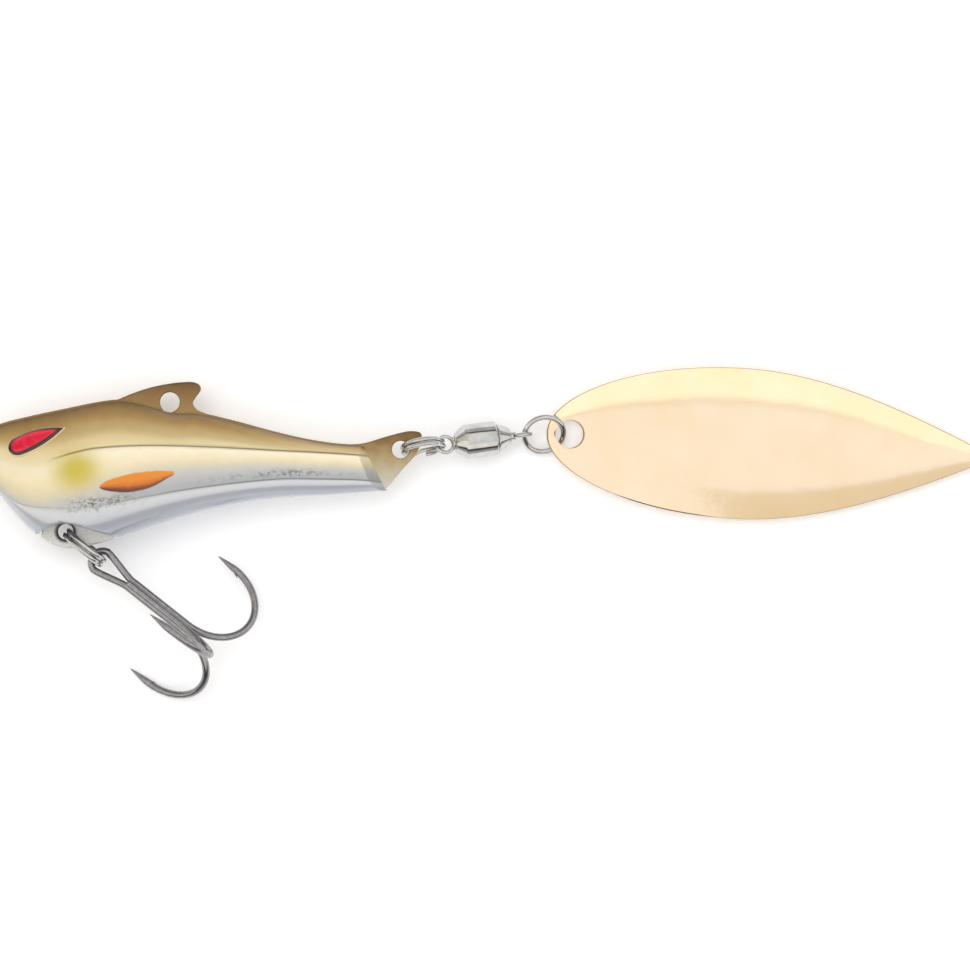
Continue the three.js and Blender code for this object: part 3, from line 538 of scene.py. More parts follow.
def paced(way, step, close=0.0):
    """A way with its points at an even step, and more closely set near its two ends."""
    lengths = np.concatenate([[0], np.cumsum(np.linalg.norm(np.diff(way, axis=0), axis=1))])
    total = lengths[-1]
    marks = np.linspace(close, total - close, max(3, round(total / step)))
    if close:
        edge = close * (1 - np.cos(np.linspace(0, math.pi / 2, 5)[:-1]))
        marks = np.concatenate([edge, marks, total - edge[::-1]])
    return np.stack([np.interp(marks, lengths, way[:, i]) for i in range(3)], -1), marks, total


def wire(way, radii, sides=20, closed=False):
    """Points and faces of a round wire along a way; radii may change along it."""
    count = len(way)
    radii = np.broadcast_to(radii, count)
    if closed:
        tangents = np.roll(way, -1, axis=0) - np.roll(way, 1, axis=0)
    else:
        tangents = np.gradient(way, axis=0)
    tangents = tangents / np.linalg.norm(tangents, axis=1)[:, None]
    normal = np.cross(tangents[0], [0.123, 0.456, 0.881])
    points = []
    for i in range(count):
        normal = normal - tangents[i] * np.dot(normal, tangents[i])
        normal = normal / np.linalg.norm(normal)
        other = np.cross(tangents[i], normal)
        angles = np.arange(sides) * 2 * math.pi / sides
        ring = np.cos(angles)[:, None] * normal + np.sin(angles)[:, None] * other
        points.append(way[i] + radii[i] * ring)
    faces = skin(count, sides, close_rows=closed)
    if not closed:
        faces += [list(range(sides)), list(range((count - 1) * sides, count * sides))]
    return np.concatenate(points), faces


def cut_wire(way, wire_radius, edge=0.08, step=0.12, sides=20):
    """A wire whose two cut ends have their edges broken."""
    way, marks, total = paced(way, step, edge)
    inset = np.minimum(marks, total - marks)
    rounding = np.clip(1 - inset / edge, 0, 1)
    return wire(way, wire_radius - edge * (1 - np.sqrt(1 - rounding**2)), sides)


def joined(*parts):
    """Several sets of points and faces as one."""
    points, faces = [], []
    for part_points, part_faces in parts:
        base = sum(len(p) for p in points)
        points.append(np.asarray(part_points))
        faces += [[base + k for k in face] for face in part_faces]
    return np.concatenate(points), faces


def eased(section, radius):
    """A closed section of along, radius points with each corner rounded."""
    section = [np.array(p, float) for p in section]
    out = []
    for i, corner in enumerate(section):
        before = section[i - 1] - corner
        after = section[(i + 1) % len(section)] - corner
        reach = min(radius, 0.45 * np.linalg.norm(before), 0.45 * np.linalg.norm(after))
        start = corner + before / np.linalg.norm(before) * reach
        end = corner + after / np.linalg.norm(after) * reach
        for t in (0, 0.25, 0.5, 0.75, 1):
            out.append((1 - t) ** 2 * start + 2 * t * (1 - t) * corner + t**2 * end)
    return out


def turned(section, sides=72):
    """A turned piece about +X from a closed section of along, radius points."""
    section = np.array(section)
    angles = np.arange(sides)[:, None] * 2 * math.pi / sides
    x = np.broadcast_to(section[:, 0], (sides, len(section)))
    points = np.stack([x, section[:, 1] * np.cos(angles), section[:, 1] * np.sin(angles)], -1)
    return points.reshape(-1, 3), skin(sides, len(section), close_rows=True)


# ---- Body casting --------------------------------------------------------------------------------
NOSE_X = 21 - BODY_LENGTH
ridge_line = smooth_line([
    (NOSE_X, -4.4), (-18.9, -3.4), (-16.4, -2.25), (-13.2, -1.42), (-10, -0.74), (-6.2, 0.0), (-4.2, 0.08),
    (-1.2, -0.62), (0.6, -1.04), (2.6, -1.1), (6.0, -1.85), (10.2, -2.98), (13.2, -3.66), (16.3, -4.12),
    (21, -4.3),
])
upper_crease = smooth_line([
    (NOSE_X, -4.5), (-16.5, -5.2), (-13.5, -5.75), (-11.5, -5.58), (-9.1, -4.9), (-6.8, -4.42),
    (-2.0, -4.17),
    (4.4, -4.33), (10.2, -4.63), (16.3, -4.95), (21, -5.3),
])
lower_crease = smooth_line([
    (NOSE_X, -4.65), (-18, -6.0), (-16.4, -8.0), (-14.3, -9.6), (-12.2, -10.05), (-7.4, -10.0),
    (-3.6, -9.36),
    (2.8, -8.24), (10.2, -7.42), (14.8, -7.39), (18.6, -7.5), (21, -7.8),
])
belly_line = smooth_line([
    (NOSE_X, -4.8), (-18.3, -6.2), (-16.4, -8.75), (-14.0, -11.6), (-12.2, -13.1), (-10.0, -14.05),
    (-7.0, -13.6), (-3.6, -12.55), (-0.4, -11.5), (2.8, -10.55), (6.5, -9.75), (10.2, -9.2), (15, -8.92),
    (21, -8.5),
])
width_share = smooth_line([
    (NOSE_X, 0.1), (-18.6, 0.36), (-16.4, 0.67), (-13.5, 0.91), (-10, 0.99), (-6.5, 1.0), (-2, 0.96),
    (3, 0.84), (8, 0.7), (13, 0.56), (18, 0.43), (21, 0.36),
])


def casting_side(x, panel):
    """Height y and half width z at x: panel runs 0 to 1 over the back, to 2 over the flank, to 3 below."""
    wide = BODY_HALF_WIDTH * width_share(x)
    crease_wide = wide * UPPER_CREASE_SHARE
    ridge_wide = np.minimum(RIDGE_HALF_WIDTH, wide * 0.6)
    ridge, upper, lower, belly = ridge_line(x), upper_crease(x), lower_crease(x), belly_line(x)
    cap = np.clip(panel / 0.12, 0, 1)
    back = np.clip((panel - 0.12) / 0.88, 0, 1)
    shoulder = ridge - 0.1 * ridge_wide
    on_ridge = ridge + (shoulder - ridge) * cap**2
    back_y = np.where(panel < 0.12, on_ridge, shoulder + (upper - shoulder) * back)
    back_bulge = 0.4 * crease_wide * back * (1 - back)
    back_z = np.where(
        panel < 0.12, ridge_wide * cap, ridge_wide + (crease_wide - ridge_wide) * back + back_bulge
    )
    flank = np.clip(panel - 1, 0, 1)
    flank_y = upper + (lower - upper) * flank
    flank_z = crease_wide + (wide - crease_wide) * flank + 0.08 * wide * flank * (1 - flank)
    turn = np.clip(panel - 2, 0, 1) * math.pi / 2
    belly_y = lower + (belly - lower) * np.sin(turn)
    belly_z = wide * np.maximum(np.cos(turn), 0) ** 0.75
    y = np.where(panel <= 1, back_y, np.where(panel <= 2, flank_y, belly_y))
    z = np.where(panel <= 1, back_z, np.where(panel <= 2, flank_z, belly_z))
    return y, z


def flank_height(x, y):
    """Height of the left flank above the middle plane, at x, y above the lower crease."""
    panel = np.linspace(0, 2.0, 200)
    side_y, side_z = casting_side(np.full(200, float(x)), panel)
    return float(np.interp(-y, -side_y, side_z))


def softer(first, second, radius, sign):
    """The greater (sign 1) or lesser (sign -1) of two values, rounded over where they meet."""
    gap = np.clip((radius - np.abs(first - second)) / radius, 0, 1)
    pick = np.maximum(first, second) if sign > 0 else np.minimum(first, second)
    return pick + sign * 0.25 * radius * gap**2


def tail_face(y, z):
    """How far the casting reaches at its tail: a slanted end, chamfered down to the plate each side."""
    end = 19.0 + np.maximum(0, -4.8 - y) * 0.5
    slant = math.radians(27)
    chamfer = -0.782 * (np.abs(z) - (PLATE_THICK / 2 + 0.35))
    sides = 19.35 + (chamfer - math.sin(slant) * (y + 6.2)) / math.cos(slant)
    return softer(end, sides, 0.25, -1)


def lug_foot(x):
    """Lowest height of the casting at x, where the bare belly lug comes out of it."""
    foot = np.interp(x, [-12.6, -10.2, -9.0, -4.9], [-12.5, -11.58, -11.75, -13.0])
    beside = np.clip(np.abs(x + 8.75) - 3.85, 0, 1)
    return np.where((x < -12.9) | (x > -4.6), -20, foot - 3 * beside)


def body_casting():
    lengths, caps = 250, 14
    share = np.linspace(0, 1, lengths)
    share = share - 0.06 * np.sin(2 * math.pi * share) / (2 * math.pi)
    # Below the girth the rows are even in height and also in width, so that the keel stays smooth.
    even_in_width = 2 + np.arccos(np.linspace(0.9, 0.03, 15) ** (4 / 3)) / (math.pi / 2)
    panel = np.concatenate([
        np.linspace(0, 0.12, 5)[:-1], np.linspace(0.12, 0.97, 16), [0.985, 0.995, 1.0, 1.005, 1.015],
        np.linspace(1.03, 1.97, 22), [1.985, 1.995, 2.0, 2.01, 2.03], np.linspace(2.06, 3.0, 22),
        even_in_width,
    ])
    panel = np.sort(panel)
    half = len(panel)
    x = np.repeat((NOSE_X + share * (19.4 - NOSE_X))[:, None], half, axis=1)
    for _ in range(4):
        y, z = casting_side(x, panel)
        x = NOSE_X + share[:, None] * (tail_face(y, z) - NOSE_X)
    y, z = casting_side(x, panel)
    # A shallow groove along each crease, as the two halves of the mould leave it.
    for crease, starts in ((1.0, -12.0), (2.0, -17.0)):
        depth = 0.05 * np.clip(z, 0, 1) * np.clip((x - starts) / 2.5, 0, 1)
        z = z - depth * np.exp(-((panel - crease) / 0.012) ** 2)
    # Under the belly the casting stops at the foot of the lug.
    y = softer(y, lug_foot(x), 0.3, 1)
    rows = [np.stack([x, y, z], -1)]
    left = rows[0]
    right = left[:, 1:-1][:, ::-1] * [1, 1, -1]
    hull = np.concatenate([left, right], axis=1)
    # Round the nose over, and close the tail face.
    nose_middle = hull[0].mean(axis=0)
    nose = []
    for k in range(6):
        s = math.sin((k + 0.3) / 6 * math.pi / 2)
        ring = nose_middle + (hull[0] - nose_middle) * s
        ring[:, 0] = NOSE_X - 0.18 * math.sqrt(1 - s**2)
        nose.append(ring)
    tail = []
    middle = hull[-1].mean(axis=0)
    for k in range(1, caps):
        ring = middle + (hull[-1] - middle) * (1 - k / caps)
        ring[:, 0] = tail_face(ring[:, 1], ring[:, 2])
        tail.append(ring)
    hull = np.concatenate([nose, hull, tail])
    rings, around = hull.shape[:2]
    points = hull.reshape(-1, 3)
    faces = skin(rings, around)
    faces += [list(range(around)), list(range((rings - 1) * around, rings * around))]
    px, py = points[:, 0], points[:, 1]
    upper, lower, ridge = upper_crease(px), lower_crease(px), ridge_line(px)
    fin_from, fin_to = np.array([-6.5, -8.15]), np.array([0.8, -6.75])
    fin_way = (fin_to - fin_from) / np.linalg.norm(fin_to - fin_from)
    fin_u = (points[:, :2] - fin_from) @ fin_way / np.linalg.norm(fin_to - fin_from)
    fin_v = (points[:, :2] - fin_from) @ np.array([-fin_way[1], fin_way[0]])
    fin_half = 0.86 * np.sin(math.pi * np.clip(fin_u, 0, 1) ** 0.85) ** 0.75
    fin_mid = -0.2 * np.sin(math.pi * np.clip(fin_u, 0, 1))
    past_ends = 8 * np.maximum(0, np.abs(fin_u - 0.5) - 0.5)
    gill_x, gill_y = (px + 8.7) / 2.3, (py + 6.5) / 1.9
    # The colours part sharply along the creases, and run into each other on the head.
    crease_blur = np.interp(px, [-12.5, -9.5], [1.7, 0.05])
    girth_blur = np.interp(px, [-9, -4], [0.7, 0.06])
    silvering = np.interp(px, [-12, -1], [0.6, 1.08])
    upper_away, lower_away = np.abs(py - upper), np.abs(py - lower)
    cheek = np.exp(-(((px + 6.6) / 3.4) ** 2) - ((py - lower - 0.15) / 0.75) ** 2)
    tail_run = np.exp(-(((px - 10.5) / 5.5) ** 2) - ((py - lower - 0.55) / 0.32) ** 2)
    attributes = {
        "below_ridge": ridge - py,
        "back_share": np.clip((py - upper) / np.maximum(ridge - upper, 0.1), 0, 1),
        "flank_share": np.clip(silvering * (upper - py) / np.maximum(upper - lower, 0.1), 0, 1),
        "belly_share": np.clip((lower - py) / np.maximum(lower - belly_line(px), 0.1), 0, 1),
        "back_cover": np.clip(0.5 + 0.5 * (py - upper) / crease_blur, 0, 1),
        "girth_cover": np.clip(0.5 + 0.5 * (py - lower) / girth_blur, 0, 1),
        # Where the dark flecks go: crinkled foil with painted shade under the fin and painted dark
        # reflection along the girth.
        "foil_flecks_and_painted_shade": np.clip(cheek + 0.85 * tail_run, 0, 1),
        "gill_patch": np.exp(-((gill_x**2 + gill_y**2) ** 1.4)),
        "pectoral_mark": fin_half - np.abs(fin_v - fin_mid) - past_ends,
        # Across the pectoral fin, from its lower edge in painted shade up to its upper edge.
        "pectoral_shade_side": np.clip(
            0.38 + 0.5 * (fin_v - fin_mid) / np.maximum(fin_half, 0.2) + 0.25 * fin_u, 0, 1
        ),
        # The next three marks place painted shade: thin dark lines at the foot of the casting and along its
        # two creases.
        "foot_painted_shade": np.clip(1.3 - (py - lug_foot(px)) / 0.13, 0, 1),
        "crease_painted_shade": np.clip(1.25 - upper_away / 0.11, 0, 1) * np.clip((px + 11.5) / 2.0, 0, 1),
        "girth_painted_shade": np.clip(1.25 - lower_away / 0.1, 0, 1) * np.clip((px + 6) / 6, 0.15, 1),
    }
    piece = placed("body_casting_lacquered", points, faces, body_link, foil, attributes, sharp=28)
    fit(piece, "body", "painted_casting", "body_casting")


# ---- Stamped plate -------------------------------------------------------------------------------
def plate_outline():
    """The plate's outline, in order round it."""
    def top(x):
        return float(ridge_line(x)) + PLATE_PROUD

    def along(start, end, line):
        steps = max(2, round(abs(end - start) / 0.25))
        places = [start + (end - start) * i / steps for i in range(steps)]
        return [(x, line(x)) for x in places]

    def through(points):
        return [tuple(p) for p in spline(points, 10)]

    outline = along(17.2, 3.6, top)
    outline += through([(3.6, top(3.6)), (2.6, -0.7), (2.22, -0.1), (2.55, 0.55), (2.98, 1.2), (2.84, 1.66),
                        (2.3, 1.92), (1.1, 1.92), (-0.4, 1.73), (-2.0, 1.38), (-3.6, 0.85),
                         (-5.0, top(-5.0))])
    outline += along(-5.2, -17.4, top)
    outline += [(-17.2, -3.6), (-13.6, -4.8), (-12.2, -8), (-11.9, -11)]
    outline += along(-12.4, -5.2, lambda x: float(belly_line(x)))
    outline += [(-5.6, -11), (-5.4, -7.5), (-3.6, -4.9), (6, -5.6), (15, -6.2), (18.8, -7.6)]
    outline += through([(20.4, -8.46), (20.9, -8.16), (22.42, -6.4), (23.65, -5.02), (24.22, -3.5),
                        (24.1, -2.95), (23.2, -2.77), (22.4, -2.88), (20.9, -3.27), (18.6, -3.94),
                        (17.4, top(17.4))])
    return outline


def harness_plate():
    """The plate as a filled outline with its holes, its cut edges rounded by tumbling."""
    curve = bpy.data.curves.new("harness_plate_outline", "CURVE")
    curve.dimensions = "2D"
    curve.fill_mode = "BOTH"
    bevel = 0.16
    curve.extrude = PLATE_THICK / 2 - bevel
    curve.bevel_depth = bevel
    curve.bevel_resolution = 3
    curve.offset = -bevel
    loops = [plate_outline()]
    punched = (((0, 0), LINE_TIE_RADIUS), (LUG_HOLE, LUG_HOLE_RADIUS), (TAIL_HOLE, TAIL_HOLE_RADIUS))
    for (x, y), radius in punched:
        turn = np.linspace(0, 2 * math.pi, 56, endpoint=False)
        loops.append([(x + radius * math.cos(a), y + radius * math.sin(a)) for a in turn])
    for loop in loops:
        strand = curve.splines.new("POLY")
        strand.points.add(len(loop) - 1)
        strand.use_cyclic_u = True
        for point, (x, y) in zip(strand.points, loop):
            point.co = (x, y, 0, 1)
    shape = bpy.data.objects.new("harness_plate_outline", curve)
    mesh = bpy.data.meshes.new_from_object(shape)
    points = np.array([v.co[:] for v in mesh.vertices])
    faces = [list(p.vertices) for p in mesh.polygons]
    bpy.data.objects.remove(shape)
    piece = placed("harness_plate_bronzed", points, faces, body_link, bronze, sharp=35)
    fit(piece, "body", "painted_plate", "harness_plate")


# ---- Eyes ----------------------------------------------------------------------------------------
def eye_outline(count=72):
    """A teardrop with its round end at the origin and its point along +X."""
    tip = EYE_LENGTH - EYE_RADIUS

    def bow(height, t):
        x = (1 - t) ** 2 * tip + 2 * t * (1 - t) * 0.5 * tip
        return (x, 2 * t * (1 - t) * height + t**2 * EYE_RADIUS)

    upper = [bow(1.35 * EYE_RADIUS, t) for t in np.linspace(0, 1, count // 3, endpoint=False)]
    round_end = [
        (EYE_RADIUS * math.cos(a), EYE_RADIUS * math.sin(a))
        for a in np.linspace(math.pi / 2, 3 * math.pi / 2, count // 3, endpoint=False)
    ]
    way_down = [bow(1.15 * EYE_RADIUS, t) for t in np.linspace(1, 0, count // 3, endpoint=False)]
    lower = [(x, -y) for x, y in way_down]
    return np.array(upper + round_end + lower)


def eye_link():
    """Frame of the left eye: on the flank, square to it, with the point of the teardrop up and back."""
    x, y = EYE_AT
    step = 0.6
    slope_x = (flank_height(x + step, y) - flank_height(x - step, y)) / (2 * step)
    slope_y = (flank_height(x, y + step) - flank_height(x, y - step)) / (2 * step)
    out = Vector((-slope_x, -slope_y, 1)).normalized()
    angle = math.radians(EYE_ANGLE)
    long = Vector((math.cos(angle), math.sin(angle), 0))
    long.z = slope_x * long.x + slope_y * long.y
    long.normalize()
    across = out.cross(long)
    turn = Matrix((long, across, out)).transposed().to_4x4()
    return Matrix.Translation((x, y, flank_height(x, y))) @ turn


def resin_eye(side):
    # The resin domes over and runs a little past the edge of its socket.
    outline = eye_outline() * EYE_SPILL
    middle = np.array([0.9, 0.05])
    rings = []
    levels = []
    for share, height in ((1.0, -EYE_DEPTH), (1.0, 0.0), (1.0, EYE_EDGE_PROUD)):
        rings.append(np.column_stack([middle + (outline - middle) * share, np.full(len(outline), height)]))
        levels.append(np.zeros(len(outline)))
    for k in range(1, 15):
        s = math.cos(k / 15 * math.pi / 2)
        height = EYE_EDGE_PROUD + (EYE_PROUD - EYE_EDGE_PROUD) * math.sqrt(1 - s**2.6)
        rings.append(np.column_stack([middle + (outline - middle) * s, np.full(len(outline), height)]))
        levels.append(np.full(len(outline), (1 - s) * EYE_RADIUS))
    points = np.concatenate(rings) - [0.38 * EYE_LENGTH, 0, 0]
    count = len(outline)
    faces = skin(len(rings), count)
    faces += [list(range(count)), list(range((len(rings) - 1) * count, len(rings) * count))]
    place = eye_link()
    flat = np.concatenate([points, np.ones((len(points), 1))], axis=1) @ np.array(place).T
    flat = flat[:, :3] * [1, 1, side]
    side_share = points[:, 1] / EYE_RADIUS - 0.25 * points[:, 0] / 2
    attributes = {"inside_edge": np.concatenate(levels), "eye_side": side_share}
    name = "left_eye" if side > 0 else "right_eye"
    piece = placed(name + "_resin", flat, faces, body_link, resin, attributes, sharp=50)
    fit(piece, "body", "eye", name)


# ---- Rings ---------------------------------------------------------------------------------------
def split_ring(name, outer, wire_size, own_link, body):
    """Two turns of wire about +Y, with a step from one turn to the other and a cut end on each side."""
    radius = (outer - wire_size) / 2
    half_step = math.radians(26)
    step_at = math.radians(RING_STEP_ANGLE)
    angle = np.linspace(step_at + half_step, step_at - half_step + 4 * math.pi, 600)
    past = np.clip((angle - step_at - 2 * math.pi) / half_step * 0.5 + 0.5, 0, 1)
    side = (3 * past**2 - 2 * past**3 - 0.5) * (wire_size + TURN_GAP)
    way = np.stack([radius * np.cos(angle), side, radius * np.sin(angle)], -1)
    points, faces = cut_wire(way, wire_size / 2, step=0.14, sides=20)
    piece = placed(name + "_coil", points, faces, own_link, nickel, sharp=50)
    fit(piece, body, "nickel", name)


def blade_ring():
    """One welded turn, with the weld drawn as a slight swelling under the blade's hole."""
    radius = (BLADE_RING_OUTER - BLADE_RING_WIRE) / 2
    angle = np.linspace(0, 2 * math.pi, 120, endpoint=False)
    way = np.stack([radius * (1 + np.cos(angle)), radius * np.sin(angle), 0 * angle], -1)
    swelling = 0.012 * np.exp(-(((angle - math.radians(250)) / 0.1) ** 2))
    points, faces = wire(way, BLADE_RING_WIRE / 2 + swelling, 20, closed=True)
    piece = placed("blade_ring_welded", points, faces, blade_ring_link, nickel)
    fit(piece, "blade_ring", "nickel", "blade_ring")


# ---- Treble hook ---------------------------------------------------------------------------------
strand_offset = (HOOK_WIRE + HOOK_STRAND_GAP) / 2


def hook_way(y, z, angle, bend_start):
    """One strand from the shank round the bend to its tip, in the plane at an angle about the shank."""
    bend = HOOK_GAPE / 2
    straight = np.linspace(HOOK_SHANK_START + 0.5, bend_start, 12)[:-1]
    flat = [(along, 0) for along in straight]
    for turn in np.linspace(0, math.pi, 40):
        flat.append((bend_start + HOOK_BEND_DEPTH * math.sin(turn), bend * (1 - math.cos(turn))))
    tip = bend_start - HOOK_TAPER
    flat += [(along, HOOK_GAPE) for along in np.linspace(bend_start, tip, 12)[1:]]
    return [(along, y + out * math.cos(angle), z + out * math.sin(angle)) for along, out in flat]


def tapered(marks, total, tips):
    """Wire radius along a strand: ground to a point over the taper at one end or at both."""
    radius = np.full(len(marks), HOOK_WIRE / 2)
    for distance in ([marks, total - marks] if tips == 2 else [total - marks]):
        share = np.clip(distance / HOOK_TAPER, 0, 1)
        radius = np.minimum(radius, 0.02 + (HOOK_WIRE / 2 - 0.02) * share**0.8)
    return radius


def barb(y, z, angle, bend_start):
    """The sliver raised by the barbing cut, on the inside of the point."""
    way = np.array([(-0.25, -0.1, 0), (0.0, -0.2, 0), (0.3, -0.34, 0), (0.6, -0.47, 0), (0.8, -0.57, 0)])
    points, faces = wire(paced(way, 0.08)[0], 0.1, 12)
    along = (points[:, 0] + 0.3) / 1.15
    middle = np.interp(points[:, 0], way[:, 0], way[:, 1])
    shrink = np.clip(1.15 - along, 0.12, 1) ** 0.7
    points[:, 1] = middle + (points[:, 1] - middle) * shrink
    points[:, 2] *= shrink * 1.25
    out = points[:, 1] + HOOK_GAPE
    return np.stack([
        points[:, 0] + bend_start, y + out * math.cos(angle) - points[:, 2] * math.sin(angle),
        z + out * math.sin(angle) + points[:, 2] * math.cos(angle),
    ], -1), faces


def treble_hook():
    roll = math.radians(TREBLE_ROLL)
    third = math.radians(30)
    upper_angle, lower_angle = roll - third, math.pi + third + roll
    turn = np.radians(np.arange(-75, 76, 15)) + math.pi
    eye_radius = HOOK_EYE_OUTER - HOOK_WIRE / 2
    eye = [(eye_radius * math.cos(a), eye_radius * math.sin(a), 0) for a in turn]
    upper = hook_way(strand_offset, 0, upper_angle, HOOK_BEND_START["double"])
    lower = hook_way(-strand_offset, 0, lower_angle, HOOK_BEND_START["double"])
    way = spline(upper[::-1] + eye + lower, 6)
    way, marks, total = paced(way, 0.13)
    double = joined(
        wire(way, tapered(marks, total, 2), 18),
        barb(strand_offset, 0, upper_angle, HOOK_BEND_START["double"]),
        barb(-strand_offset, 0, lower_angle, HOOK_BEND_START["double"]),
    )
    piece = placed("treble_double_hook_wire", *double, treble_link, gunmetal, sharp=50)
    fit(piece, "treble", "black_nickel", "treble_double_hook")
    single_angle = math.pi / 2 + roll
    height = math.sqrt((HOOK_WIRE + 2 * HOOK_STRAND_GAP) ** 2 - strand_offset**2)
    bend_start = HOOK_BEND_START["single"]
    way = spline(hook_way(0, height, single_angle, bend_start), 6)
    way, marks, total = paced(way, 0.13, 0.1)
    inset = np.clip(1 - marks / 0.1, 0, 1)
    radius = tapered(marks, total, 1) - 0.1 * (1 - np.sqrt(1 - inset**2))
    single = joined(wire(way, radius, 18), barb(0, height, single_angle, bend_start))
    piece = placed("treble_single_hook_wire", *single, treble_link, gunmetal, sharp=50)
    fit(piece, "treble", "black_nickel", "treble_single_hook")


# ---- Swivel --------------------------------------------------------------------------------------
def eyed_stem(eye, centre, stem_from, stem_to, head_to, upright):
    """A wire eye on a round stem that ends in a riveted head."""
    angle = np.linspace(0, 2 * math.pi, 64, endpoint=False)
    radius = eye["opening"] + eye["wire"] / 2
    if upright:
        way = np.stack([centre + radius * np.cos(angle), 0 * angle, radius * np.sin(angle)], -1)
    else:
        way = np.stack([centre + radius * np.cos(angle), radius * np.sin(angle), 0 * angle], -1)
    loop = wire(way, eye["wire"] / 2, 18, closed=True)
    head = [(stem_to, 0.001), (stem_to, eye["head"]), (head_to, eye["head"]), (head_to, 0.001)]
    stem = [(stem_from, 0.001), (stem_from, eye["stem"]), (stem_to, eye["stem"]), (stem_to, 0.001)]
    return joined(loop, turned(eased(stem, 0.1), 40), turned(eased(head, 0.1), 40))


def swivel():
    bore = SWIVEL_RADIUS - SWIVEL_WALL
    front_floor = SWIVEL_SHOULDER + 0.1
    cap_face = SWIVEL_JOINT - 0.62
    hole = FRONT_EYE["stem"] + SWIVEL_FIT
    barrel = [
        (SWIVEL_NOSE, hole), (front_floor, hole), (front_floor, bore), (SWIVEL_JOINT, bore),
        (SWIVEL_JOINT, SWIVEL_RADIUS - 0.14), (SWIVEL_JOINT - 0.14, SWIVEL_RADIUS - 0.03),
        ((SWIVEL_SHOULDER + SWIVEL_JOINT) / 2, SWIVEL_RADIUS), (SWIVEL_SHOULDER, SWIVEL_RADIUS - 0.03),
        (SWIVEL_NOSE, SWIVEL_NOSE_RADIUS),
    ]
    piece = placed("swivel_barrel_turned", *turned(eased(barrel, 0.16), 96), swivel_link, nickel, sharp=40)
    fit(piece, "swivel", "nickel", "swivel_barrel")
    hole = REAR_EYE["stem"] + SWIVEL_FIT
    seam = SWIVEL_JOINT + SWIVEL_FIT
    cap = [
        (cap_face, hole), (SWIVEL_END, hole), (SWIVEL_END, SWIVEL_END_RADIUS),
        (seam + 0.1, SWIVEL_RADIUS - 0.28),
        (seam, SWIVEL_RADIUS - 0.34), (seam, bore - SWIVEL_FIT), (cap_face, bore - SWIVEL_FIT),
    ]
    piece = placed("swivel_rear_cap_turned", *turned(eased(cap, 0.1), 96), swivel_link, nickel, sharp=40)
    fit(piece, "swivel", "nickel", "swivel_rear_cap")
    centre = FRONT_EYE["opening"] - TAIL_RING_WIRE / 2 - 0.145
    root = centre + FRONT_EYE["opening"] + 0.1
    head = front_floor + SWIVEL_FIT
    front = eyed_stem(FRONT_EYE, centre, root, head, head + 0.3, False)
    piece = placed("swivel_front_eye_wire", *front, swivel_link, nickel, sharp=45)
    fit(piece, "swivel", "nickel", "swivel_front_eye")
    centre = SWIVEL_PULL - (REAR_EYE["opening"] - BLADE_RING_WIRE / 2 - SWIVEL_FIT)
    root = centre - REAR_EYE["opening"] - 0.1
    collar_back = cap_face - 0.25 * 2 - 0.03 * 2 - 0.25 * 2 - 0.42 + 0.25 * 2
    head = collar_back - SWIVEL_FIT
    rear = eyed_stem(REAR_EYE, centre, root, head, head - 0.3, True)
    piece = placed("swivel_rotor_wire", *rear, rotor_link, nickel, sharp=45)
    fit(piece, "rotor", "nickel", "swivel_rotor")


def bearing_parts():
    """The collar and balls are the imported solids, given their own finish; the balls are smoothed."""
    names = ["thrust_collar"] + [f"bearing_ball_{i}" for i in range(1, 9)]
    for name in names:
        node = frame["nodes"][name]
        for slot in node.material_slots:
            slot.material = bearing
        if not node.material_slots:
            node.data.materials.append(bearing)
        if name != "thrust_collar":
            node.data.shade_smooth()


# ---- Blade ---------------------------------------------------------------------------------------
blade_hole_x = BLADE_MARGIN + BLADE_HOLE_RADIUS
blade_middle = BLADE_LENGTH / 2 - blade_hole_x


def blade_half_width(share):
    wave = np.maximum(np.sin(math.pi * share**0.821), 0)
    return BLADE_WIDTH / 2 * wave ** np.where(share < 0.43, 0.6, 0.95)


def blade_outline(count):
    """The willow leaf's outline with the hole's middle at 0, 0, at even steps along its edge."""
    share = 0.5 - 0.5 * np.cos(np.linspace(0, math.pi, 2000))
    half = blade_half_width(share)
    half[0] = half[-1] = 0
    x = share * BLADE_LENGTH - blade_hole_x
    loop = np.concatenate([np.stack([x, -half], -1), np.stack([x, half], -1)[::-1][1:]])
    lengths = np.concatenate([[0], np.cumsum(np.linalg.norm(np.diff(loop, axis=0), axis=1))])
    marks = np.linspace(0, lengths[-1], count, endpoint=False)
    return np.stack([np.interp(marks, lengths, loop[:, i]) for i in range(2)], -1)


def dish(x, y):
    """Height of the sheet above the middle of the hole; its rim slopes the same all round."""
    along = ((x - blade_middle) ** 2 - blade_middle**2) / (2 * BLADE_LONG_RADIUS)
    half = blade_half_width(np.clip((x + blade_hole_x) / BLADE_LENGTH, 0, 1))
    return along + BLADE_RIM_SLOPE * y**2 / (2 * np.maximum(half, 0.01))


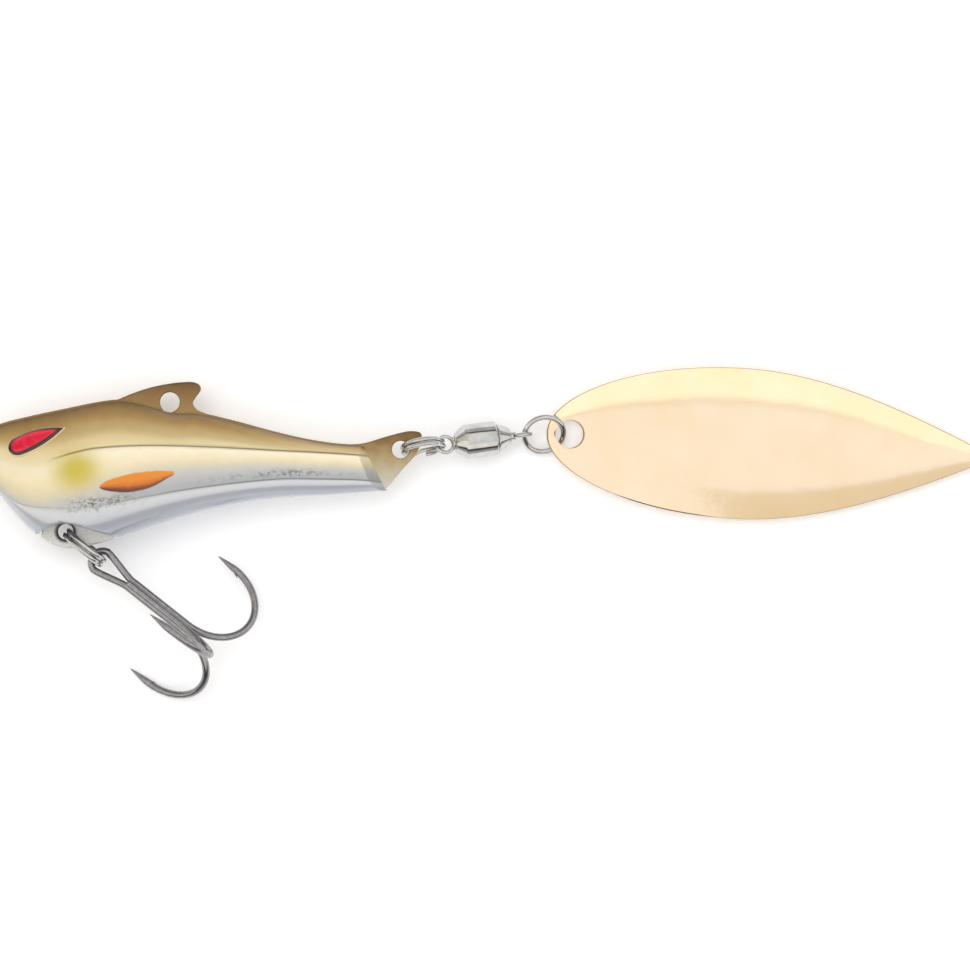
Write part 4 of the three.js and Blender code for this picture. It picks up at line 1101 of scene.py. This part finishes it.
def blade():
    count, steps = 360, 64
    edge = blade_outline(count)
    start = math.pi
    angle = start + np.linspace(0, 2 * math.pi, count, endpoint=False)
    hole = BLADE_HOLE_RADIUS * np.stack([np.cos(angle), np.sin(angle)], -1)
    share = np.linspace(0, 1, steps)
    share = share - 0.12 * np.sin(2 * math.pi * share)
    half = BLADE_THICK / 2
    ease = 0.12
    way = edge - hole
    unit = way / np.linalg.norm(way, axis=1)[:, None]
    loops = []
    inset = []

    dark_edge_share = []

    def add_loop(flat, up, from_edge):
        height = dish(flat[:, 0], flat[:, 1]) + up
        # Along part of the lower edge the rim gets a painted dark reflection.
        stretch = np.clip((flat[:, 0] - 3.5) / 3, 0, 1) * np.clip((15.5 - flat[:, 0]) / 3, 0, 1)
        dark_edge_share.append(stretch * (flat[:, 1] < 0) * np.exp(-((from_edge / 0.3) ** 2)))
        loops.append(np.column_stack([flat, height]))
        inset.append(np.broadcast_to(from_edge, count))

    corner = np.linspace(0, math.pi / 2, 4)
    inner = hole + unit * ease
    outer = edge - unit * ease
    for top in (1, -1):
        spans = share if top > 0 else share[::-1]
        for s in spans:
            flat = inner + (outer - inner) * s
            distance = np.linalg.norm(outer - inner, axis=1)
            near = np.minimum(distance * s, distance * (1 - s)) + ease
            add_loop(flat, top * half, near)
        for a in (corner[1:] if top > 0 else corner[1:]):
            rim = (edge if top > 0 else hole)
            way_in = -unit if top > 0 else unit
            flat = rim + way_in * ease * (1 - math.sin(a))
            add_loop(flat, top * (half - ease * (1 - math.cos(a))), 0.0)
        for a in corner[::-1][:-1]:
            rim = (edge if top > 0 else hole)
            way_in = -unit if top > 0 else unit
            flat = rim + way_in * ease * (1 - math.sin(a))
            add_loop(flat, -top * (half - ease * (1 - math.cos(a))), 0.0)
    points = np.concatenate(loops)
    faces = skin(len(loops), count, close_rows=True)
    attributes = {"from_edge": np.concatenate(inset), "painted_dark_edge": np.concatenate(dark_edge_share)}
    piece = placed("blade_willow_leaf", points, faces, blade_link, gold, attributes, sharp=50)
    fit(piece, "blade", "gold_blade", "blade")


# ---- Make every piece ----------------------------------------------------------------------------
body_casting()
harness_plate()
resin_eye(1)
resin_eye(-1)
split_ring("belly_split_ring", BELLY_RING_OUTER, BELLY_RING_WIRE, belly_ring_link, "belly_ring")
split_ring("tail_split_ring", TAIL_RING_OUTER, TAIL_RING_WIRE, tail_ring_link, "tail_ring")
treble_hook()
swivel()
bearing_parts()
blade_ring()
blade()


# ---- Table, light and camera ---------------------------------------------------------------------
def table():
    mesh = bpy.data.meshes.new("table_top")
    reach, sides = 3.0, 96
    turns = np.linspace(0, 2 * math.pi, sides, endpoint=False)
    rim = [(reach * math.cos(a), reach * math.sin(a), 0) for a in turns]
    mesh.from_pydata(rim, [], [list(range(sides))])
    mesh.materials.append(pale_table())
    top = bpy.data.objects.new("table_top", mesh)
    bpy.context.scene.collection.objects.link(top)


def soft_light(name, at, size, watts, colour="#FFFFFF"):
    """A rectangular soft light that faces the middle of the lure."""
    lamp = bpy.data.lights.new(name, "AREA")
    lamp.shape = "RECTANGLE"
    lamp.size, lamp.size_y = size
    lamp.energy = watts
    lamp.color = linear(colour)[:3]
    light = bpy.data.objects.new(name, lamp)
    light.location = at
    light.visible_glossy = False
    light.rotation_euler = (-Vector(at)).to_track_quat("-Z", "Y").to_euler()
    bpy.context.scene.collection.objects.link(light)


def studio():
    """A white tent lit from outside, open along the front where the room is dark."""
    world = bpy.data.worlds.new("light_tent")
    bpy.context.scene.world = world
    world.use_nodes = True
    tree = world.node_tree
    way = add(tree, "TexCoord", {}, output="Generated")
    along = add(tree, "SeparateXYZ", {"Vector": way}, output="X")
    across = add(tree, "SeparateXYZ", {"Vector": way}, output="Y")
    up = add(tree, "SeparateXYZ", {"Vector": way}, output="Z")
    lean = add(tree, "Math", {0: across, 1: up}, operation="ARCTAN2")
    half_turn = {"From Min": -math.pi / 2, "From Max": math.pi / 2}
    share = add(tree, "MapRange", {"Value": lean, **half_turn})
    # Towards the nose end the side panels lean in until they meet over the middle.
    off_middle = add(tree, "Math", {0: share, 1: 0.5}, operation="SUBTRACT")
    side = add(tree, "Math", {0: off_middle}, operation="SIGN")
    distance = add(tree, "Math", {0: off_middle}, operation="ABSOLUTE")
    middle = add(tree, "MapRange", {"Value": distance, "From Min": 0.27, "From Max": 0.0})
    closing = add(tree, "MapRange", {"Value": along, "From Min": -0.02, "From Max": -0.135})
    shift = add(tree, "Math", {0: closing, 1: 2.0}, operation="POWER")
    for factor in (0.135, middle, side):
        shift = add(tree, "Math", {0: shift, 1: factor}, operation="MULTIPLY")
    share = add(tree, "Math", {0: share, 1: shift}, operation="ADD")
    walls = add(tree, "ValToRGB", {"Fac": share}, stops=[
        (0.0, 0.4), (0.1, 0.35), (0.13, 0.05), (0.19, 0.05), (0.22, "#FBF8EE"), (0.375, "#FEFBF2"),
        (0.39, "#DCD9D4"), (0.405, 0.81), (0.62, 0.82), (0.632, 0.72), (0.64, "#D6CFC0"), (0.79, "#D2CBBC"),
        (0.81, 0.1), (0.85, 0.1), (0.88, 0.5), (1.0, 0.4),
    ])
    # The shaded panel on the back's side stops short of the tail end, where the roof comes down instead.
    roof = add(tree, "MapRange", {"Value": along, "From Min": 0.128, "From Max": 0.136})
    for none, full in ((0.8, 0.785), (0.5, 0.51)):
        within = add(tree, "MapRange", {"Value": share, "From Min": none, "From Max": full})
        roof = add(tree, "Math", {0: roof, 1: within}, operation="MULTIPLY")
    walls = add(tree, "Mix", {"Factor": roof, "A": walls, "B": linear(0.82)}, data_type="RGBA")
    background = tree.nodes["Background"]
    tree.links.new(walls, background.inputs["Color"])
    background.inputs["Strength"].default_value = 1.25
    soft_light("light_above", (-0.15, 0.22, 0.75), (0.5, 0.4), 1.6)


def camera():
    lens = bpy.data.cameras.new("product_camera")
    view = bpy.data.objects.new("product_camera", lens)
    distance, width = 0.45, 0.09327
    middle = (cad_box[0] + cad_box[1]) / 2 + Vector((0.0003, 0.0046, 0))
    view.location = (middle.x, middle.y, pivots["belly_ring_swing"].z * MM + distance)
    lens.sensor_fit = "HORIZONTAL"
    lens.sensor_width = 36
    lens.lens = 36 * distance / width
    lens.clip_start = 0.01
    bpy.context.scene.collection.objects.link(view)
    bpy.context.scene.camera = view


table()
studio()
camera()
bpy.context.scene.view_settings.view_transform = "Standard"
